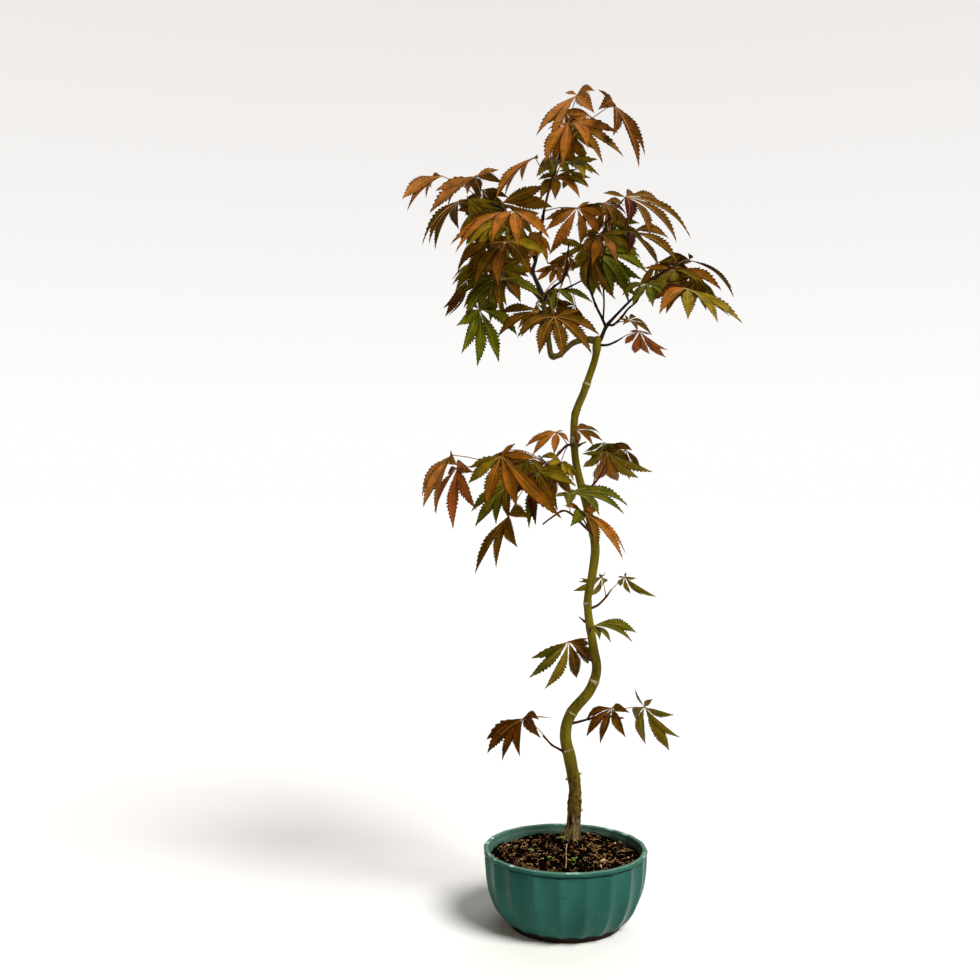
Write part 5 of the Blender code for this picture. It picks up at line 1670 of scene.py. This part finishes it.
def glaze_look(name, settings, colour, lip_shadow_colour):
    """A gloss glaze: pale on the lip from thinner glaze and a painted highlight, with painted glints there;
    dark under the lip from pooled glaze and a painted shadow; thick above the foot; with dark pinholes.
    """
    made, tree, inputs = new_look(
        name, Roughness=0.2, Specular_IOR_Level=0.12, IOR=1.25, Specular_Tint=GLAZE_GLEAM
    )
    tone = patches(tree, colour, shade(colour, *GLAZE_DARK), *GLAZE_PATCHES)
    lip = fade(tree, *LIP_FADE)
    # Thinner glaze on the lip, whose pale colour also paints a highlight there
    tone = mixed(tree, calculated(tree, "MULTIPLY", lip, THIN_AND_LIT_LIP), tone, settings.thin_glaze_and_highlight)
    # Painted highlight: pale glints in patches on the lip, where light would catch it
    glinting = use(tree, "Patches", Scale=60.0, Stretch=0.2, Low=0.56, High=0.64)["Mask"]
    tone = mixed(tree, calculated(tree, "MULTIPLY", lip, glinting), tone, settings.painted_lip_glint)
    tone = mixed(tree, fade(tree, *BEAD_FADE), tone, settings.pooled_glaze_and_shadow)
    # Painted shadow: a dark band under the overhanging lip, in the colour of pooled glaze
    lip_shadow_band = calculated(tree, "MULTIPLY", fade(tree, *LIP_SHADOW_FOOT), fade(tree, *LIP_SHADOW_TOP))
    tone = mixed(tree, lip_shadow_band, tone, lip_shadow_colour)
    holes = use(tree, "Dots", Scale=34.0, Size=0.035)["Mask"]
    tone = mixed(tree, ranged(tree, holes, From_Min=0.15, From_Max=0.4), tone, settings.clay)
    feed(tree, inputs["Base Color"], tone)
    ripple, speck = [grain(tree, *texture) for texture in GLAZE_GRAINS]
    relief = calculated(tree, "MULTIPLY_ADD", speck, SPECKS, ripple)
    bumped(tree, inputs, relief, distance=0.0012, strength=0.5)
    return made


# Stage

FLOOR_DEPTH = 20.0
SUN_AWAY = 3.0  # metres, for show only
FARTHEST = 100.0  # metres that the camera sees
# Wide soft lights: (degrees to the right of the front, degrees up, degrees wide, colour)
SUNS = {
    "key_light": (46.0, 50.0, 26.0, (1.0, 0.99, 0.96)),
    "fill_light": (-62.0, 34.0, 50.0, (1.0, 0.86, 0.58)),
    "back_light": (165.0, 60.0, 50.0, (1.0, 1.0, 1.0)),
}


def make_floor(settings):
    """A wide pale floor."""
    half = settings.floor_size / MM / 2
    corners = ((-half, -half), (half, -half), (half, half), (-half, half))
    slab = Shell(skin([[Vector((x, y, z)) for x, y in corners] for z in (-FLOOR_DEPTH, 0.0)]))
    floor = shaped("floor", slab, plain_look("floor", "pale_floor", settings.floor))
    floor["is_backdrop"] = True


def make_sun(name, strength, right, up, wide, colour):
    light = bpy.data.lights.new(name, "SUN")
    light.energy = strength
    light.angle = math.radians(wide)
    light.color = colour
    turn, rise = math.radians(right), math.radians(up)
    toward = Vector((math.sin(turn) * math.cos(rise), -math.cos(turn) * math.cos(rise), math.sin(rise)))
    made = linked(name, light)
    made.rotation_euler = toward.to_track_quat("Z", "Y").to_euler()
    made.location = toward * SUN_AWAY


def make_sky(settings):
    """Pale air: white low down and a little warm grey above, dimmer as a light than as a backdrop."""
    world = bpy.data.worlds.new("pale_air")
    world.use_nodes = True
    tree = world.node_tree
    tree.nodes.clear()
    place = add(tree, "SeparateXYZ", {0: add(tree, "TexCoord", {}).outputs["Generated"]}).outputs
    rise = ranged(tree, place["Z"], From_Min=0.05, From_Max=0.5)
    colour = mixed(tree, rise, settings.low_air, settings.high_air)
    seen_directly = add(tree, "LightPath", {}).outputs["Is Camera Ray"]
    light = settings.air_light
    aside = ranged(tree, place["X"], From_Min=-1.0, To_Min=0.1 * light, To_Max=2.0 * light)
    strength = add(tree, "Mix", {"Factor": seen_directly, "A": aside, "B": 1.0}).outputs[0]
    air = add(tree, "Background", {"Color": colour, "Strength": strength})
    add(tree, "OutputWorld", {"Surface": air.outputs[0]}).is_active_output = True
    bpy.context.scene.world = world


def make_camera():
    lens = bpy.data.cameras.new("camera")
    lens.sensor_width = SENSOR
    lens.lens = LENS
    lens.clip_end = FARTHEST
    camera = linked("camera", lens)
    camera.location = EYE * MM
    camera.rotation_euler = (math.pi / 2, 0.0, 0.0)
    bpy.context.scene.camera = camera


def make_stage(settings):
    make_floor(settings)
    make_sky(settings)
    for name, sun in SUNS.items():
        make_sun(name, getattr(settings, name), *sun)
    make_camera()
    bpy.context.scene.view_settings.view_transform = "Standard"


# Settings


def colour(label, description, default):
    return bpy.props.FloatVectorProperty(
        name=label, description=description, default=default, size=3, min=0.0, max=1.0, subtype="COLOR"
    )


def length(label, description, default):
    return bpy.props.FloatProperty(
        name=label, description=description, default=default, min=0.0, subtype="DISTANCE", unit="LENGTH"
    )


def share(label, description, default):
    return bpy.props.FloatProperty(
        name=label, description=description, default=default, min=0.0, max=1.0, subtype="FACTOR"
    )


def count(label, description, default):
    return bpy.props.IntProperty(name=label, description=description, default=default, min=0)


def strength(label, description, default):
    return bpy.props.FloatProperty(name=label, description=description, default=default, min=0.0)


class BonsaiLeafSettings(bpy.types.PropertyGroup):
    """Sizes and tints of the leaves and twigs."""

    lobe_width: share("Lobe width", "Half the width of a lobe over its length", 0.126)
    tooth_depth: share("Tooth depth", "How far the teeth stand out, over half the lobe's width", 0.15)
    fold: share("Fold", "How steeply a lobe rises from its midrib", 0.3)
    rib: length("Rib", "Half the thickness of a midrib on a lobe 50 mm long", 0.00042)
    stalk: length("Stalk", "Radius of a leaf's stalk", 0.00045)
    margin: colour("Margin", "How dark a leaf's margin is against its blade", (0.42, 0.33, 0.25))
    copper: colour("Copper", "The newest leaf, at the top", (0.440, 0.160, 0.036))
    amber: colour("Amber", "Warm brown leaves that catch the light", (0.315, 0.099, 0.011))
    rust: colour("Rust", "Red-brown leaves", (0.300, 0.074, 0.014))
    russet: colour("Russet", "Dark red-brown leaves", (0.100, 0.028, 0.0020))
    sienna: colour("Sienna", "Brown leaves", (0.260, 0.084, 0.0060))
    bronze: colour("Bronze", "Brown leaves turning olive", (0.146, 0.060, 0.0030))
    umber: colour("Umber", "Dark brown leaves", (0.112, 0.045, 0.0020))
    wine: colour("Wine", "Dark red lobes", (0.060, 0.0080, 0.0030))
    olive: colour("Olive", "Olive leaves", (0.210, 0.132, 0.0070))
    moss: colour("Moss", "Deep green leaves", (0.094, 0.080, 0.0040))
    green: colour("Green", "The greenest leaves", (0.096, 0.090, 0.0030))
    pale_rib: colour("Pale rib", "Midribs of brown leaves", (0.520, 0.270, 0.060))
    green_rib: colour("Green rib", "Midribs of green leaves", (0.420, 0.380, 0.080))
    stalk_colour: colour("Stalk", "Stalks of the leaves", (0.250, 0.110, 0.030))
    crown_twig: colour("Crown twig", "Bark of the twigs in the crown", (0.016, 0.0080, 0.0060))
    young_shoot: colour("Young shoot", "Bark of the red shoots on the trunk", (0.070, 0.018, 0.010))


class BonsaiBarkSettings(bpy.types.PropertyGroup):
    """Colours of the trunk and boughs."""

    young_colour: colour("Young bark", "Smooth olive bark", (0.150, 0.116, 0.0050))
    young_dark: colour("Young bark streak", "Darker streaks in the olive bark", (0.062, 0.047, 0.0030))
    old_colour: colour("Old bark", "Dark of the rough bark near the soil", (0.034, 0.019, 0.0060))
    brown_colour: colour("Brown bark", "Bark between the root base and the olive bark", (0.12, 0.084, 0.012))
    root_colour: colour("Root bark", "Grey of the root base", (0.215, 0.148, 0.066))
    scar_colour: colour("Scar", "Pale rings and pruning scars", (0.420, 0.330, 0.170))
    bough_colour: colour("Bough bark", "Bark of the left bough", (0.090, 0.066, 0.010))
    bough_dark: colour("Bough streak", "Streaks of the left bough", (0.035, 0.026, 0.0060))
    crown_colour: colour("Crown bark", "Bark of the leader and the right bough", (0.024, 0.014, 0.0090))
    crown_dark: colour("Crown streak", "Streaks of the crown's bark", (0.010, 0.0060, 0.0050))
    spur_colour: colour("Spur", "Short spurs on the trunk", (0.060, 0.026, 0.012))
    root_strands: count("Root strands", "Strands round the root base", 22)


class BonsaiBowlSettings(bpy.types.PropertyGroup):
    """Shape and glaze of the bowl."""

    flute_hollow: length("Flute hollow", "How far a flute sinks behind its chord", 0.0020)
    glaze: colour("Glaze", "The glaze on the walls", (0.027, 0.112, 0.089))
    # Pooled glaze at the bead above the foot, and the colour of the painted shadow under the lip
    pooled_glaze_and_shadow: colour("Pooled glaze", "The glaze where it lies thick", (0.0040, 0.026, 0.022))
    # Painted light: lighter than the outer glaze, for the light that the inside reflects
    lightened_inside_glaze: colour("Inner glaze", "The glaze inside the bowl", (0.070, 0.140, 0.105))
    # Thinner glaze on the lip, paler also as a painted highlight
    thin_glaze_and_highlight: colour("Thin glaze", "The glaze where it thins on the lip", (0.130, 0.240, 0.170))
    # Painted highlight: the glints on the lip
    painted_lip_glint: colour("Glinting glaze", "The glaze where the lip is worn", (0.420, 0.560, 0.500))
    clay: colour("Clay", "Bare clay of the foot", (0.028, 0.010, 0.0050))


class BonsaiSoilSettings(bpy.types.PropertyGroup):
    """Make-up of the soil."""

    crumbs: count("Crumbs", "Crumbs on the surface", 4400)
    fibres: count("Fibres", "Fibres on the surface", 540)
    chips: count("Chips", "Small pale chips", 60)
    dark: colour("Dark soil", "Damp soil", (0.0022, 0.0008, 0.0004))
    brown: colour("Brown crumbs", "Brown crumbs and rootlets", (0.022, 0.0055, 0.0012))
    tan: colour("Tan crumbs", "Light brown crumbs", (0.240, 0.095, 0.026))
    fibre: colour("Fibre", "Fibres", (0.700, 0.390, 0.150))
    pale: colour("Pale chips", "Pale chips and straw", (0.620, 0.420, 0.220))
    seedling: colour("Seedling", "Seedlings", (0.160, 0.270, 0.030))


class BonsaiStageSettings(bpy.types.PropertyGroup):
    """Floor and light."""

    floor_size: length("Floor", "Side of the floor", 60.0)
    floor: colour("Floor colour", "Pale floor", (0.86, 0.855, 0.84))
    low_air: colour("Low air", "Backdrop low down", (1.0, 1.0, 0.985))
    high_air: colour("High air", "Backdrop above", (0.80, 0.76, 0.745))
    air_light: share("Air light", "Light that the air gives", 0.17)
    key_light: strength("Key light", "Soft light from the front right", 4.1)
    fill_light: strength("Fill light", "Warm light from the left", 0.25)
    back_light: strength("Back light", "Soft light from behind", 0.6)


# Operators and panel


class BONSAI_OT_foliage(bpy.types.Operator):
    """Grow the leaves, their stalks and the twigs"""

    bl_idname = "bonsai.foliage"
    bl_label = "Grow Foliage"

    def execute(self, context):
        make_foliage(context.scene.bonsai_leaves)
        return {"FINISHED"}


class BONSAI_OT_bark(bpy.types.Operator):
    """Dress the trunk and boughs in bark, with scars, spurs and root strands"""

    bl_idname = "bonsai.bark"
    bl_label = "Dress Trunk and Boughs"

    def execute(self, context):
        make_bark(context.scene.bonsai_bark)
        return {"FINISHED"}


class BONSAI_OT_bowl(bpy.types.Operator):
    """Make the fluted glazed bowl and its clay foot"""

    bl_idname = "bonsai.bowl"
    bl_label = "Make Bowl"

    def execute(self, context):
        make_bowl(context.scene.bonsai_bowl)
        return {"FINISHED"}


class BONSAI_OT_soil(bpy.types.Operator):
    """Fill in the soil with crumbs, fibres, chips and seedlings"""

    bl_idname = "bonsai.soil"
    bl_label = "Fill In Soil"

    def execute(self, context):
        make_soil(context.scene.bonsai_soil)
        return {"FINISHED"}


class BONSAI_OT_stage(bpy.types.Operator):
    """Set up the floor, the light and the camera"""

    bl_idname = "bonsai.stage"
    bl_label = "Set Up Stage"

    def execute(self, context):
        make_stage(context.scene.bonsai_stage)
        return {"FINISHED"}


class BONSAI_PT_panel(bpy.types.Panel):
    """The bonsai's pieces and their settings"""

    bl_label = "Potted Maple Bonsai"
    bl_idname = "BONSAI_PT_panel"
    bl_space_type = "VIEW_3D"
    bl_region_type = "UI"
    bl_category = "Bonsai"

    def draw(self, context):
        for operator, _, group_name in PARTS:
            box = self.layout.box()
            box.operator(operator.bl_idname)
            settings = getattr(context.scene, group_name)
            for name in settings.__annotations__:
                box.prop(settings, name)


# Operator, its settings and their name on the scene, in the order of making
PARTS = (
    (BONSAI_OT_stage, BonsaiStageSettings, "bonsai_stage"),
    (BONSAI_OT_bowl, BonsaiBowlSettings, "bonsai_bowl"),
    (BONSAI_OT_soil, BonsaiSoilSettings, "bonsai_soil"),
    (BONSAI_OT_bark, BonsaiBarkSettings, "bonsai_bark"),
    (BONSAI_OT_foliage, BonsaiLeafSettings, "bonsai_leaves"),
)


def register():
    for operator, settings, group_name in PARTS:
        bpy.utils.register_class(settings)
        bpy.utils.register_class(operator)
        setattr(bpy.types.Scene, group_name, bpy.props.PointerProperty(type=settings))
    bpy.utils.register_class(BONSAI_PT_panel)


def unregister():
    bpy.utils.unregister_class(BONSAI_PT_panel)
    for operator, settings, group_name in reversed(PARTS):
        delattr(bpy.types.Scene, group_name)
        bpy.utils.unregister_class(operator)
        bpy.utils.unregister_class(settings)


def main():
    register()
    bpy.ops.bonsai.stage()
    bpy.ops.bonsai.bowl()
    bpy.ops.bonsai.soil()
    bpy.ops.bonsai.bark()
    bpy.ops.bonsai.foliage()
    boxes = {"cad": CAD_BOX, "visual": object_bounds()}
    {name: [list(corner) for corner in box] for name, box in boxes.items()}


if __name__ == "__main__":
    main()
